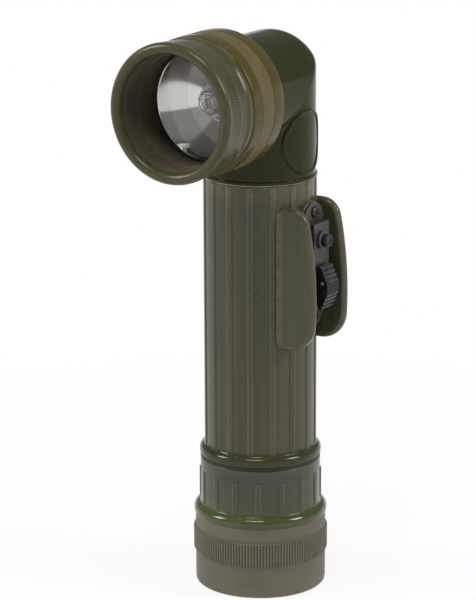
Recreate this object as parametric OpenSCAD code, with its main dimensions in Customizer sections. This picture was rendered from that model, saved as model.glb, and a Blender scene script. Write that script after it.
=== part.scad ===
// Angle-head flashlight for two large round cells.
// Z runs up the barrel's axis, the head looks along -Y, the switch is on the +X side,
// the belt clip is at the back, and the origin is the middle of the base's flat face.

/* [Cells] */
// Radius of one cell
cell_r = 17.1; // [13.5:0.1:21]
// Length of one cell with its nub
cell_l = 61.5; // [50:0.5:74]
// Gap between the cells and the bore
cell_gap = 0.3; // [0.2:0.05:0.6]
// Height of the battery spring with the cells in place
spring_h = 10; // [8.5:0.5:14]

/* [Barrel] */
// Wall of the barrel between its ribs
barrel_wall = 2.1; // [2:0.1:3]
// Number of ribs round the barrel and round the battery cap
rib_count = 16; // [8:4:20]
// Width of a rib
rib_w = 2; // [1.4:0.1:3.2]
// Height of a rib above its wall
rib_h = 0.45; // [0.3:0.05:0.7]
// Height of the bead above the cap gasket
bead_h = 3.6; // [2.6:0.1:5]
// How far the bead stands out from the wall
bead_out = 2; // [1.2:0.05:2.2]
// Length of the threaded neck below the bead
neck_l = 11.2; // [9:0.1:14]
// How far the cells reach above the joint of barrel and elbow
cell_reach = 13.3; // [10:0.1:16]

/* [Battery cap] */
// Height of the battery cap's visible wall
cap_h = 20.5; // [17:0.1:26]
// How far the battery cap's wall stands out from the barrel's wall
cap_out = 1.7; // [1.3:0.05:2.2]
// Thickness of the battery cap's floor
cap_floor = 2; // [1.5:0.1:3]
// Length of the neck that the base cap screws on
cap_neck_l = 9; // [7:0.1:10.8]
// Thickness of the cap gasket
oring_h = 1.2; // [0.8:0.1:2]
// Turn of the battery cap's ribs against the barrel's ribs, in degrees
cap_turn = 8; // [0:1:22]

/* [Base cap] */
// Thickness of the base cap's floor
base_floor = 2; // [1.5:0.1:3]
// Wall of the base cap
base_wall = 1.7; // [1.5:0.1:2.4]
// How far the base cap's wall stands out from the barrel's wall
base_out = 3.6; // [3:0.1:4.4]
// Height of the lower edge of the knurled band
base_knurl_z = 12.4; // [8:0.1:15]
// Width of the base cap's knurled band
base_knurl_w = 7.8; // [5:0.1:9]
// How far the base cap's knurled band stands out
base_knurl_out = 0.7; // [0.5:0.05:1.2]
// Number of teeth in each knurled band
knurl_count = 140; // [60:10:150]
// Thickness of one spare filter
filter_t = 1.5; // [1:0.1:2]

/* [Elbow] */
// Wall of the elbow round the cells
elbow_wall = 2; // [1.5:0.1:2.6]
// Height of the lens ring's lower edge above the joint of barrel and elbow
head_over = 6.7; // [5.4:0.1:12]
// How far the rounded outer corner lies beyond the elbow's radius
corner_out = 2.3; // [1.2:0.1:4]
// Distance of the round pads' lower edge above the lip at the joint
pad_low = 1.3; // [0.8:0.1:9]
// Width of a pad's raised rim
pad_rim = 1; // [0.6:0.1:2]
// Distance from the barrel's surface at the elbow to the back of the lens ring
ring_clear = 1.8; // [1.2:0.1:8]

/* [Head] */
// Length of the neck that the lens ring screws on
ring_grip = 12.4; // [10:0.1:16]
// Wall of the lens ring over the elbow's neck
ring_wall = 3.5; // [3.2:0.1:5]
// Thickness of the lens ring's front wall
ring_lip = 3; // [2:0.1:4]
// Wall of the hood ring over the lens ring's nose
hood_wall = 2.3; // [2:0.1:4]
// Length of the hood ring
hood_l = 16.1; // [13:0.1:22]
// Radius of the hood's rounded lip
lip_r = 2; // [1.4:0.1:2.1]
// Thickness of the lens
lens_t = 1.4; // [1:0.1:2.6]
// Thickness of the lens gasket
lens_gasket_t = 1; // [0.6:0.1:2]
// Depth of the reflector's dish
dish_depth = 10; // [8.2:0.1:12.4]
// Radius of the bulb's glass
bulb_r = 5.2; // [4:0.1:5.4]
// Distance of the bulb's tip behind the dish's front edge
bulb_in = 1.2; // [0.4:0.1:2.5]

/* [Switch] */
// Distance of the guard wings' upper edge below the elbow
guard_drop = 7.2; // [4:0.1:12]
// How far the guard wings reach below the switch cover
guard_tail = 6.8; // [3:0.1:14]
// How far the guard wings stand out from the barrel's wall
guard_out = 9.7; // [8.6:0.1:12]
// Thickness of a guard wing
guard_t = 3.4; // [2.4:0.1:4.2]
// Clear width between the guard wings
guard_gap = 17.2; // [14.2:0.1:20.8]
// Width of the switch cover
cover_w = 11.4; // [10.6:0.1:13.8]
// Distance from the flash button's axis to the upper end of the cover's box
button_in = 6.95; // [5.75:0.05:9]
// Height of the switch cover's box above its seat
cover_h = 4.9; // [4:0.1:6]
// Length of the switch slide
slide_l = 15.3; // [12.7:0.1:18.4]
// Width of the switch slide
slide_w = 7.6; // [6:0.1:9.2]
// Height of the switch slide above the cover
slide_h = 3.9; // [3.1:0.1:4.8]
// Travel of the switch slide
slide_travel = 5.6; // [4:0.1:6.8]
// Radius of the flash button
button_r = 2.2; // [1.8:0.1:2.4]
// How far the flash button stands out of the cover
button_h = 2.55; // [2:0.05:4]
// Travel of the flash button
button_travel = 1.4; // [1:0.1:1.5]

/* [Belt clip] */
// Width of the belt clip
clip_w = 12; // [9:0.5:13]
// Thickness of the belt clip's strip
clip_t = 1; // [0.8:0.1:1.3]
// Length of the clip's riveted root
clip_root_l = 18; // [16:0.5:22]
// Height of the spring arm's lower end above the bead
clip_lift = 10.9; // [4:0.1:30]
// Clear space between the arm and the barrel
clip_gap = 3.2; // [2.4:0.1:4]

/* [Hidden] */
$fn = 96;
// Overrun of every cut
cut = 0.5;
// Radial clearance of a thread
thread_gap = 0.08;
// Clearance of a seated or sliding face
seat_gap = 0.05;
// Clearance between loose pieces
loose_gap = 0.3;
// Steps in a rounded edge of an outline
arc_steps = 8;
// Depth by which a rib or a band is rooted in its wall
root_in = 0.8;

// Bulb
bulb_flange_r = 6.75;
bulb_flange_t = 0.8;
bulb_shell_r = 4.65;
bulb_shell_l = 6.2;
bulb_tip_r = 1.6;
bulb_tip_h = 0.8;
bulb_glass_t = 0.5;
bulb_post_r = 0.3;
bulb_post_gap = 3;
dish_wall = 0.6;
bulb_l = dish_depth + dish_wall - bulb_in;
bulb_len = bulb_tip_h + bulb_shell_l + bulb_flange_t + bulb_l;

// Radii round the barrel's axis
bore_r = cell_r + cell_gap;
barrel_r = bore_r + barrel_wall;
rib_r = barrel_r + rib_h;
neck_step = 0.2;
neck_r = barrel_r - neck_step;
cap_bore = neck_r + thread_gap;
cap_r = barrel_r + cap_out;
base_r = barrel_r + base_out;
base_in = base_r - base_wall;
cap_neck_r = base_in - thread_gap;
cap_neck_in = cap_neck_r - base_wall;
bead_r = barrel_r + bead_out;

// Radii round the head's axis
elbow_r = bore_r + elbow_wall;
head_neck_out = 1;
head_neck_r = elbow_r + head_neck_out;
ring_r = head_neck_r + ring_wall;

// Heights up the barrel's axis
spare_room = 0.8;
filter_count = 4;
filter_z = base_floor;
cradle_z = filter_z + filter_count * filter_t + seat_gap;
base_h = cradle_z - seat_gap + bulb_len + spare_room;
cap_top = base_h + cap_h;
cap_floor_z = base_h + cap_floor;
barrel_z = cap_top + oring_h;
neck_z = barrel_z - neck_l;
cell_z = cap_floor_z + spring_h;
cell_top = cell_z + 2 * cell_l;
seam_z = cell_top - cell_reach;
head_rise = ring_r + head_over;
head_z = seam_z + head_rise;

// Battery cap
flare_over = 0.5;
flare_flat = 1.2;
cap_edge = 0.4;
cap_rib_drop = 4.6;
flare_r = base_r + flare_over;

// Base cap
base_edge_r = 1.3;
base_gasket_t = 1;
base_gasket_w = 0.75;
base_knurl_deep = 0.35;

// Cells and their contacts
cell_edge = 1;
nub_r = 4.8;
nub_h = 1.5;
contact_t = 0.4;
cup_gap = 0.1;
spring_wire_r = 0.6;
spring_turns = 4;
spring_foot_r = 13.5;
spring_head_r = 6;
strip_t = 0.4;
strip_w = 5;
groove_deep = 0.55;
strip_x = bore_r + seat_gap;
groove_x = bore_r + groove_deep;
groove_w = strip_w + 2 * cup_gap;

// Elbow
spigot_t = 0.9;
spigot_l = 5;
spigot_r = bore_r + spigot_t;
elbow_lip_h = 1.4;
ledge_w = 0.6;
cavity_r = bore_r - ledge_w;
pad_h = 0.75;
pad_floor = 0.3;
pad_edge = 0.6;
pad_r = (head_rise - elbow_lip_h - pad_low - pad_edge * sqrt(2)) / (1 + sqrt(2));
pad_z = head_z - (pad_r + pad_edge) * sqrt(2);
neck_front = elbow_r + ring_clear + ring_grip;
neck_wall = 1.4;
mouth_r = head_neck_r - neck_wall;
mouth_deep = 2.6;
ring_overlap = 1.2;

// Contact disc under the head
disc_t = 1.5;
rivet_head_t = 0.5;
disc_rivet_r = 1.2;
disc_head_r = 3;
disc_top_r = 1.8;
disc_z = cell_top + rivet_head_t;
ledge_z = disc_z + disc_t;
leaf_t = 0.5;
leaf_w = 5;
leaf_foot = 4;
leaf_knee = 7;
leaf_rise = 7;
leaf_over = 2.7;

// Lamp, as distances forward from the barrel's axis and radii round the head's axis
flange_t = 0.6;
flange_gap = 0.2;
flange_r = head_neck_r - flange_gap;
dish_margin = 0.4;
dish_r = mouth_r - dish_margin;
dish_hole = bulb_r + dish_margin;
dish_steps = 24;
rim_d = neck_front + flange_t;
hole_d = rim_d - dish_depth;
dish_curve = (dish_r * dish_r - dish_hole * dish_hole) / dish_depth;
collar_gap = 0.1;
collar_wall = 0.75;
collar_in = bulb_flange_r + collar_gap;
collar_r = collar_in + collar_wall;
collar_l = 3.6;
bulb_seat_d = hole_d - dish_wall;
bulb_shell_d = bulb_seat_d - bulb_flange_t;
bulb_back_d = bulb_shell_d - bulb_shell_l - bulb_tip_h;
holder_wall = 1.5;
holder_lap = 3;
holder_back_t = 1.6;
holder_shell_gap = 0.12;
contact_head_r = 3;
contact_head_t = 0.5;
contact_pin_r = 1.5;
contact_pin_out = 0.6;
contact_d = bulb_back_d - seat_gap - contact_head_t;
holder_d = contact_d - holder_back_t;
pin_d = holder_d - contact_pin_out;
gasket_back_t = 0.4;
gasket_wall = 0.6;
gasket_lap = 0.4;
lens_r = flange_r - gasket_wall;
lens_back_d = rim_d + gasket_back_t;
lens_d = lens_back_d + lens_t;
lens_gasket_d = lens_d + lens_gasket_t;
gasket_in = dish_r - gasket_lap;
nose_in = dish_r + 2 * loose_gap;
nose_wall = 2.1;
nose_r = nose_in + nose_wall;
nose_l = 6;
hood_r = nose_r + hood_wall;
ring_back = neck_front - ring_grip;
ring_front = lens_gasket_d + ring_lip;
ring_edge = 0.8;
ring_taper = 0.2;
ring_knurl_in = 6.7;
ring_knurl_d = ring_back + ring_knurl_in;
ring_knurl_w = 6.9;
ring_knurl_deep = 0.15;
// Depth of the wall's seat under a band that is flush with the wall
band_seat = 0.55;
hood_gap = 0.5;
hood_seal_t = 0.4;
hood_seal_in = 0.2;
hood_seal_wall = 1.5;
hood_back = ring_front + hood_gap;
hood_front = ring_front + hood_l;
hood_bore = nose_in + loose_gap;
hood_seat_gap = 0.2;
hood_waist = 0.45;
hood_rim_l = 1.6;
hood_step_l = 1;
hood_knurl_w = 6.2;
hood_knurl_deep = 0.1;
lip_over = 0.2;
lip_c = [hood_r + lip_over - lip_r, hood_front - lip_r];

// Switch
slide_low_gap = 1.3;
button_clear = 3.15;
cover_l = slide_low_gap + slide_l + slide_travel + button_clear + button_in;
guard_top = seam_z - guard_drop;
guard_low = guard_top - cover_l - cover_w - guard_tail;
guard_x = barrel_r + guard_out;
guard_side_r = 136;
guard_side_up = 17.3;
guard_top_r = 7.2;
guard_low_r = 10.2;
guard_side_c = [guard_x - guard_side_r, guard_low + guard_side_up];
guard_root = bore_r / 2;
guard_y = (guard_gap + guard_t) / 2;
seat_out = 1.5;
seat_edge = 0.4;
seat_x = barrel_r + seat_out;
cover_z = guard_top - (cover_l + cover_w) / 2;
cover_t = 0.8;
switch_gasket_t = 0.5;
tab_x = seat_x + switch_gasket_t;
cover_x = seat_x + cover_h;
window_w = 6.8;
window_margin = 2.65;
window_l = cover_l - 2 * window_margin;
window_low = cover_z - window_l / 2;
base_block_gap = 0.1;
base_block_x = strip_x + strip_t + base_block_gap;
screw_out = 2.4;
screw_r = 1.2;
screw_deep = 2.6;
screw_head_r = 2;
screw_head_t = 1.1;
screw_slot_w = 0.5;
screw_slot_l = 2.4;
screw_slot_t = 0.6;
screw_z = [cover_z - cover_l / 2 - screw_out, cover_z + cover_l / 2 + screw_out];
slide_gap = 0.15;
slide_z = cover_z - cover_l / 2 + slide_low_gap;
slide_end_h = 0.8;
slide_crest = 3.2;
slide_rib_h = 0.4;
slide_ribs = 4;
slide_rib_shares = [0.1, 0.5, 0.9];
stem_w = 4;
stem_l = 5;
stem_low = 1.2;
keeper_w = 8;
keeper_l = 7.4;
keeper_t = 0.8;
keeper_gap = 0.2;
keeper_low = 0.6;
keeper_x = cover_x - cover_t - keeper_gap - keeper_t;
slide_pin_r = 0.55;
slide_pin_up = 9.6;
slide_pin_h = 1.9;
leaf_spring_t = 0.3;
leaf_spring_w = 5;
leaf_spring_l = 9.6;
leaf_tip_gap = 0.15;
point_r = 0.8;
point_head_r = 1.2;
point_head_t = 0.6;
point_low = 7.7;
point_back = 0.4;
point_mid = keeper_low + leaf_spring_t + leaf_spring_l + slide_travel - point_back;
point_z = [slide_z + point_low, slide_z + point_mid];
button_up = cover_l / 2 - button_in;
button_z = cover_z + button_up;
button_gap = 0.08;
button_flange_r = 2.9;
button_flange_t = 0.8;
button_edge = 0.3;
button_end_r = 1;
collar_ring_r = 3.1;
collar_ring_h = 0.5;
button_flange_x = cover_x - cover_t - seat_gap - button_flange_t;
button_end_x = seat_x + point_head_t + button_travel + seat_gap;
pocket_r = 2.7;
pocket_deep = 0.8;
button_wire_r = 0.2;
button_coil_r = 2.1;
button_turns = 5;

// Belt clip
clip_seat_out = 0.25;
clip_seat_y = rib_r + clip_seat_out;
clip_seat_edge = 0.5;
clip_split = 0.3;
clip_top = guard_top;
clip_knee_l = 8;
clip_tip_l = 8;
clip_tip_out = 3;
clip_close = 0.4;
clip_rivet_r = 1.2;
clip_rivet_head = 2.2;
clip_rivet_dome = 0.9;
clip_rivet_in = 4.5;
clip_rivet_pitch = 9;
clip_rivet_z = [clip_top - clip_rivet_in, clip_top - clip_rivet_in - clip_rivet_pitch];

// Points of an arc about c, from one angle to another
function arc(c, r, from, to, n = arc_steps) =
    [for (i = [0:n]) c + r * [cos(from + (to - from) * i / n), sin(from + (to - from) * i / n)]];

// Outline of a slot with round ends, upright about the origin
function slot_outline(w, l) =
    concat(arc([0, l / 2], w / 2, 0, 180, 2 * arc_steps), arc([0, -l / 2], w / 2, 180, 360, 2 * arc_steps));

// Outline of a knurled band with grooves of one depth
function teeth(r, deep, n) =
    [for (i = [0:2 * n - 1]) (i % 2 == 0 ? r : r - deep) * [cos(180 * i / n), sin(180 * i / n)]];

// A shape drawn with Z forward and Y up, set on the head's axis
module at_head() {
    translate([0, 0, head_z]) rotate([90, 0, 0]) children();
}

// A shape drawn with X along +Y, Y up and Z out of the switch side
module at_side() {
    rotate([90, 0, 90]) children();
}

// A profile of [y, z] points made a slab of width w across X
module across(w, x = 0) {
    translate([x, 0, 0]) at_side() translate([0, 0, -w / 2]) linear_extrude(height = w) children();
}

// A profile of [x, z] points made a slab of width w across Y
module along(w, y = 0) {
    translate([0, y, 0]) rotate([90, 0, 0]) translate([0, 0, -w / 2]) linear_extrude(height = w) children();
}

// A ring with flat ends
module ring(r, bore, h) {
    difference() {
        cylinder(r = r, h = h);
        translate([0, 0, -cut]) cylinder(r = bore, h = h + 2 * cut);
    }
}

// A knurled band from z = 0 up, rooted in the wall under it
module knurl(r, bore, h, deep) {
    difference() {
        linear_extrude(height = h) polygon(teeth(r, deep, knurl_count));
        translate([0, 0, -cut]) cylinder(r = bore, h = h + 2 * cut);
    }
}

// A coil of wire that narrows from r0 at z0 to r1 at z1
module coil(r0, r1, z0, z1, wire, turns) {
    sides = 6;
    steps = 18 * turns;
    spine = [for (i = [0:steps]) let (t = i / steps)
        [r0 + (r1 - r0) * t, 360 * turns * t, z0 + (z1 - z0) * t]];
    points = [for (s = spine) for (k = [0:sides - 1])
        [(s[0] + wire * cos(360 * k / sides)) * cos(s[1]),
         (s[0] + wire * cos(360 * k / sides)) * sin(s[1]),
         s[2] + wire * sin(360 * k / sides)]];
    walls = [for (i = [0:steps - 1]) for (k = [0:sides - 1])
        [i * sides + k, i * sides + (k + 1) % sides, (i + 1) * sides + (k + 1) % sides, (i + 1) * sides + k]];
    first = [for (k = [0:sides - 1]) sides - 1 - k];
    last = [for (k = [0:sides - 1]) steps * sides + k];
    polyhedron(points = points, faces = concat([first], walls, [last]), convexity = 10);
}

// A rib that stands out of a wall of radius r, from z0 up to a round end at z1
module round_rib(r, z0, z1) {
    outline = concat([[-rib_w / 2, z0], [rib_w / 2, z0]], arc([0, z1 - rib_w / 2], rib_w / 2, 0, 180));
    at_side() translate([0, 0, r - root_in]) linear_extrude(height = root_in + rib_h) polygon(outline);
}

// One guard wing beside the switch: a long arc for its side that runs into a round corner at each end
module guard_wing() {
    reach_low = guard_side_r - guard_low_r;
    reach_top = guard_side_r - guard_top_r;
    turn_low = asin((guard_side_c[1] - guard_low - guard_low_r) / reach_low);
    turn_top = asin((guard_top - guard_top_r - guard_side_c[1]) / reach_top);
    low_c = guard_side_c + reach_low * [cos(turn_low), -sin(turn_low)];
    top_c = guard_side_c + reach_top * [cos(turn_top), sin(turn_top)];
    outline = concat(
        [[guard_root, guard_low]],
        arc(low_c, guard_low_r, -90, -turn_low),
        arc(guard_side_c, guard_side_r, -turn_low, turn_top),
        arc(top_c, guard_top_r, turn_top, 90),
        [[guard_root, guard_top]]);
    along(guard_t, guard_y) polygon(outline);
}

// The groove that holds the contact strips inside the wall
module strip_groove(z0, z1) {
    translate([cavity_r - cut, -groove_w / 2, z0]) cube([groove_x - cavity_r + cut, groove_w, z1 - z0]);
}

module barrel() {
    wall = concat(
        [[0, neck_z], [neck_r, neck_z], [neck_r, barrel_z], [bead_r, barrel_z]],
        arc([barrel_r, barrel_z + bead_h - bead_out], bead_out, 0, 90),
        [[barrel_r, seam_z], [0, seam_z]]);
    rib_z = barrel_z + bead_h - bead_out;
    color("#474938") difference() {
        union() {
            rotate_extrude() polygon(wall);
            for (i = [0:rib_count - 1]) rotate([0, 0, 360 * i / rib_count - 90])
                translate([barrel_r - root_in, -rib_w / 2, rib_z])
                    cube([root_in + rib_h, rib_w, seam_z - rib_z]);
            guard_wing();
            mirror([0, 1, 0]) guard_wing();
            translate([0, 0, cover_z]) at_side() linear_extrude(height = seat_x)
                polygon(slot_outline(cover_w + 2 * seat_edge, cover_l));
            translate([-clip_w / 2 - clip_seat_edge, 0, clip_top - clip_root_l - clip_seat_edge])
                cube([clip_w + 2 * clip_seat_edge, clip_seat_y, clip_root_l + 2 * clip_seat_edge]);
        }
        translate([0, 0, neck_z - cut]) cylinder(r = bore_r, h = seam_z - neck_z + 2 * cut);
        translate([0, 0, seam_z - spigot_l]) cylinder(r = spigot_r + seat_gap, h = spigot_l + cut);
        strip_groove(neck_z - cut, seam_z + cut);
        translate([0, -window_w / 2, window_low]) cube([seat_x + cut, window_w, window_l]);
        for (z = screw_z) translate([seat_x - screw_deep, 0, z]) rotate([0, 90, 0])
            cylinder(r = screw_r + seat_gap, h = screw_deep + cut);
        for (z = clip_rivet_z) translate([0, bore_r + loose_gap, z]) rotate([-90, 0, 0])
            cylinder(r = clip_rivet_r + seat_gap, h = clip_seat_y - bore_r);
    }
}

// A square bend: a leg down the barrel's axis, a leg along the head's axis and a rounded corner
module bend(r, z0, d1, corner) {
    translate([0, 0, z0]) cylinder(r = r, h = head_z - z0);
    at_head() cylinder(r = r, h = d1);
    intersection() {
        translate([0, 0, head_z]) cylinder(r = r, h = r + cut);
        at_head() translate([0, 0, -r - cut]) cylinder(r = r, h = r + cut);
        translate([0, 0, head_z]) sphere(r = corner);
    }
}

module head_elbow() {
    color("#33341f") difference() {
        union() {
            bend(elbow_r, seam_z, neck_front - cut, elbow_r + corner_out);
            translate([0, 0, seam_z]) cylinder(r = rib_r, h = elbow_lip_h);
            translate([0, 0, seam_z - spigot_l]) cylinder(r = spigot_r, h = spigot_l + cut);
            at_head() translate([0, 0, ring_back + ring_overlap])
                cylinder(r = head_neck_r, h = neck_front - ring_back - ring_overlap);
            intersection() {
                translate([-rib_r - pad_h, 0, pad_z]) rotate([0, 90, 0])
                    cylinder(r = pad_r, h = 2 * (rib_r + pad_h));
                translate([0, 0, pad_z - 2 * pad_r]) cylinder(r = elbow_r + pad_h, h = 4 * pad_r);
            }
        }
        difference() {
            translate([-2 * elbow_r, 0, pad_z]) rotate([0, 90, 0])
                cylinder(r = pad_r - pad_rim, h = 4 * elbow_r);
            translate([0, 0, pad_z - 2 * pad_r]) cylinder(r = elbow_r + pad_floor, h = 4 * pad_r);
        }
        translate([0, 0, seam_z - spigot_l - cut])
            cylinder(r = bore_r, h = ledge_z - seam_z + spigot_l + cut);
        bend(cavity_r, ledge_z - cut, neck_front + cut, cavity_r + corner_out);
        at_head() translate([0, 0, neck_front - mouth_deep]) cylinder(r = mouth_r, h = mouth_deep + cut);
        strip_groove(seam_z - spigot_l - cut, head_z + groove_w / 2);
        translate([cavity_r - cut, -neck_front - cut, head_z - groove_w / 2])
            cube([groove_x - cavity_r + cut, neck_front + cut, groove_w]);
    }
}

module battery_cap() {
    flare_out = flare_r - cap_r;
    wall = concat(
        [[0, base_h], [cap_neck_in, base_h], [cap_neck_in, base_h - cap_neck_l]],
        [[cap_neck_r, base_h - cap_neck_l], [cap_neck_r, base_h], [flare_r, base_h]],
        arc([cap_r, base_h + flare_flat], flare_out, 0, 90),
        [[cap_r, cap_top - cap_edge], [cap_r - cap_edge, cap_top], [cap_bore, cap_top]],
        [[cap_bore, cap_floor_z], [0, cap_floor_z]]);
    color("#474b32") {
        rotate_extrude() polygon(wall);
        for (i = [0:rib_count - 1]) rotate([0, 0, 360 * i / rib_count - 90 + cap_turn])
            round_rib(cap_r, base_h + flare_flat, cap_top - cap_rib_drop);
    }
}

module cap_gasket() {
    color("#161616") translate([0, 0, cap_top + seat_gap])
        ring(bead_r - neck_step, neck_r + seat_gap, oring_h - 2 * seat_gap);
}

module base_cap() {
    gasket_r = cap_neck_r + base_gasket_w + 2 * seat_gap;
    top_z = base_h - seat_gap;
    wall = concat(
        [[0, 0]],
        arc([base_r - base_edge_r, base_edge_r], base_edge_r, -90, 0),
        [[base_r, top_z], [gasket_r, top_z], [gasket_r, base_h - base_gasket_t - 2 * seat_gap]],
        [[base_in, base_h - base_gasket_t - 2 * seat_gap], [base_in, base_floor], [0, base_floor]]);
    color("#625c50") {
        rotate_extrude() polygon(wall);
        translate([0, 0, base_knurl_z])
            knurl(base_r + base_knurl_out, base_r - root_in, base_knurl_w, base_knurl_deep);
    }
}

module base_gasket() {
    color("#161616") translate([0, 0, base_h - base_gasket_t - seat_gap])
        ring(cap_neck_r + base_gasket_w, cap_neck_r + seat_gap, base_gasket_t);
}

module lens_ring() {
    bore = head_neck_r + thread_gap;
    low = ring_r - band_seat;
    wall = [
        [bore, ring_back], [ring_r - ring_edge, ring_back], [ring_r, ring_back + ring_edge],
        [ring_r, ring_knurl_d], [low, ring_knurl_d], [low, ring_knurl_d + ring_knurl_w],
        [ring_r, ring_knurl_d + ring_knurl_w], [ring_r - ring_taper, ring_front - ring_edge],
        [ring_r - ring_edge, ring_front], [nose_r, ring_front], [nose_r, ring_front + nose_l],
        [nose_in, ring_front + nose_l], [nose_in, lens_gasket_d + seat_gap], [bore, lens_gasket_d + seat_gap]];
    color("#544c2a") at_head() {
        rotate_extrude() polygon(wall);
        translate([0, 0, ring_knurl_d])
            knurl(ring_r - seat_gap, ring_r - root_in, ring_knurl_w, ring_knurl_deep);
    }
}

module hood_ring() {
    knurl_d = hood_front - lip_r - hood_knurl_w - seat_gap;
    low = hood_r - band_seat;
    nose_bore = nose_r + thread_gap;
    seat_d = ring_front + nose_l + hood_seat_gap;
    wall = concat(
        [[nose_bore, hood_back], [hood_r, hood_back], [hood_r, hood_back + hood_rim_l]],
        [[hood_r - hood_waist, hood_back + hood_rim_l + hood_step_l]],
        [[hood_r - hood_waist, knurl_d - hood_step_l]],
        [[low, knurl_d], [low, knurl_d + hood_knurl_w]],
        arc(lip_c, lip_r, 0, 180, 2 * arc_steps),
        [[hood_bore, lip_c[1] - lip_r], [hood_bore, seat_d], [nose_bore, seat_d]]);
    color("#4c4d37") at_head() {
        rotate_extrude() polygon(wall);
        translate([0, 0, knurl_d]) knurl(hood_r, hood_r - root_in, hood_knurl_w, hood_knurl_deep);
    }
}

module hood_gasket() {
    color("#161616") at_head() translate([0, 0, ring_front + seat_gap])
        ring(nose_r + hood_seal_wall, nose_r + hood_seal_in, hood_seal_t);
}

module lens() {
    color([0.9, 0.95, 0.95, 0.35]) at_head() translate([0, 0, lens_back_d])
        cylinder(r = lens_r - seat_gap, h = lens_t);
}

// A gasket folded round the lens's edge, with a lip behind the lens and one in front
module lens_gasket() {
    back_in = dish_r + seat_gap;
    color("#101010") at_head() rotate_extrude() polygon([
        [back_in, rim_d], [flange_r, rim_d], [flange_r, lens_gasket_d], [gasket_in, lens_gasket_d],
        [gasket_in, lens_d], [lens_r, lens_d], [lens_r, lens_back_d], [back_in, lens_back_d]]);
}

// Distance forward of the dish's bright face at radius r
function dish_d(r) = rim_d - (dish_r * dish_r - r * r) / dish_curve;

// The point of the dish's back behind its bright face at radius r
function dish_back(r) =
    let (s = 2 * r / dish_curve, k = dish_wall / sqrt(1 + s * s)) [r + k * s, dish_d(r) - k];

module reflector() {
    span = dish_r - dish_hole;
    back_hole = collar_r - dish_wall;
    back_span = dish_r - dish_wall - back_hole;
    wall = concat(
        [for (i = [0:dish_steps]) let (r = dish_hole + span * i / dish_steps) [r, dish_d(r)]],
        [[flange_r, rim_d], [flange_r, neck_front], [dish_back(dish_r - dish_wall)[0] + seat_gap, neck_front]],
        [for (i = [0:dish_steps]) dish_back(back_hole + back_span * (1 - i / dish_steps))],
        [[collar_r, bulb_seat_d - collar_l], [collar_in, bulb_seat_d - collar_l]],
        [[collar_in, bulb_seat_d], [dish_hole, bulb_seat_d]]);
    color("silver") at_head() rotate_extrude() polygon(wall);
}

// Profile of a bulb's glass, from its flange to its tip
function glass_profile(inset) =
    let (r = bulb_r - inset, top = bulb_l - inset)
    concat([[0, inset], [r, inset]], arc([0, top - r], r, 0, 90, 2 * arc_steps));

// A bulb's glass, with its flange's front face at z = 0
module glass() {
    difference() {
        rotate_extrude() polygon(glass_profile(0));
        rotate_extrude() polygon(glass_profile(bulb_glass_t));
    }
}

// A bulb's metal flange, shell and tip, with the flange's front face at z = 0
module shell() {
    translate([0, 0, -bulb_flange_t]) cylinder(r = bulb_flange_r, h = bulb_flange_t);
    translate([0, 0, -bulb_flange_t - bulb_shell_l])
        cylinder(r = bulb_shell_r, h = bulb_shell_l + bulb_flange_t);
    translate([0, 0, bulb_l - bulb_len]) cylinder(r = bulb_tip_r, h = bulb_tip_h + bulb_flange_t);
}

// A bulb's two posts and filament, with the flange's front face at z = 0
module filament() {
    post_l = bulb_l / 2;
    for (y = [-1, 1]) translate([0, y * bulb_post_gap / 2, bulb_glass_t])
        cylinder(r = bulb_post_r, h = post_l);
    translate([0, -bulb_post_gap / 2, bulb_glass_t + post_l - bulb_post_r]) rotate([-90, 0, 0])
        cylinder(r = bulb_post_r, h = bulb_post_gap);
}

module bulb_glass() {
    color([0.95, 0.97, 0.97, 0.35]) at_head() translate([0, 0, bulb_seat_d]) glass();
}

module bulb_base() {
    color("#b9b4a4") at_head() translate([0, 0, bulb_seat_d]) shell();
}

module bulb_filament() {
    color("#777777") at_head() translate([0, 0, bulb_seat_d]) filament();
}

module bulb_holder() {
    front_d = bulb_seat_d - collar_l + holder_lap;
    shell_bore = bulb_shell_r + holder_shell_gap;
    color("#2a2622") at_head() difference() {
        translate([0, 0, holder_d]) cylinder(r = collar_r + holder_wall, h = front_d - holder_d);
        translate([0, 0, bulb_seat_d - collar_l - seat_gap])
            cylinder(r = collar_r + thread_gap, h = collar_l);
        translate([0, 0, contact_d]) cylinder(r = shell_bore, h = front_d - contact_d);
        translate([0, 0, holder_d - cut]) cylinder(r = contact_pin_r + seat_gap, h = holder_back_t + 2 * cut);
    }
}

module bulb_contact() {
    color("#b08d4a") at_head() {
        translate([0, 0, pin_d]) cylinder(r = contact_pin_r, h = contact_d - pin_d + contact_head_t);
        translate([0, 0, contact_d]) cylinder(r = contact_head_r, h = contact_head_t);
    }
}

module contact_disc() {
    color("#5a3a22") translate([0, 0, disc_z])
        ring(bore_r - flange_gap, disc_rivet_r + seat_gap, disc_t - seat_gap);
}

module disc_rivet() {
    top = ledge_z + leaf_t;
    color("#b08d4a") {
        translate([0, 0, cell_top]) cylinder(r = disc_head_r, h = rivet_head_t);
        translate([0, 0, cell_top]) cylinder(r = disc_rivet_r, h = top - cell_top + rivet_head_t);
        translate([0, 0, top]) cylinder(r = disc_top_r, h = rivet_head_t);
    }
}

module lamp_leaf() {
    face_y = -pin_d + seat_gap;
    back_y = face_y + leaf_t;
    color("#b08d4a") difference() {
        across(leaf_w) polygon([
            [leaf_foot, ledge_z], [-leaf_knee, ledge_z], [face_y, ledge_z + leaf_rise],
            [face_y, head_z + leaf_over], [back_y, head_z + leaf_over], [back_y, ledge_z + leaf_rise],
            [-leaf_knee + leaf_t, ledge_z + leaf_t], [leaf_foot, ledge_z + leaf_t]]);
        translate([0, 0, ledge_z - cut]) cylinder(r = disc_rivet_r + seat_gap, h = leaf_t + 2 * cut);
    }
}

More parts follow.
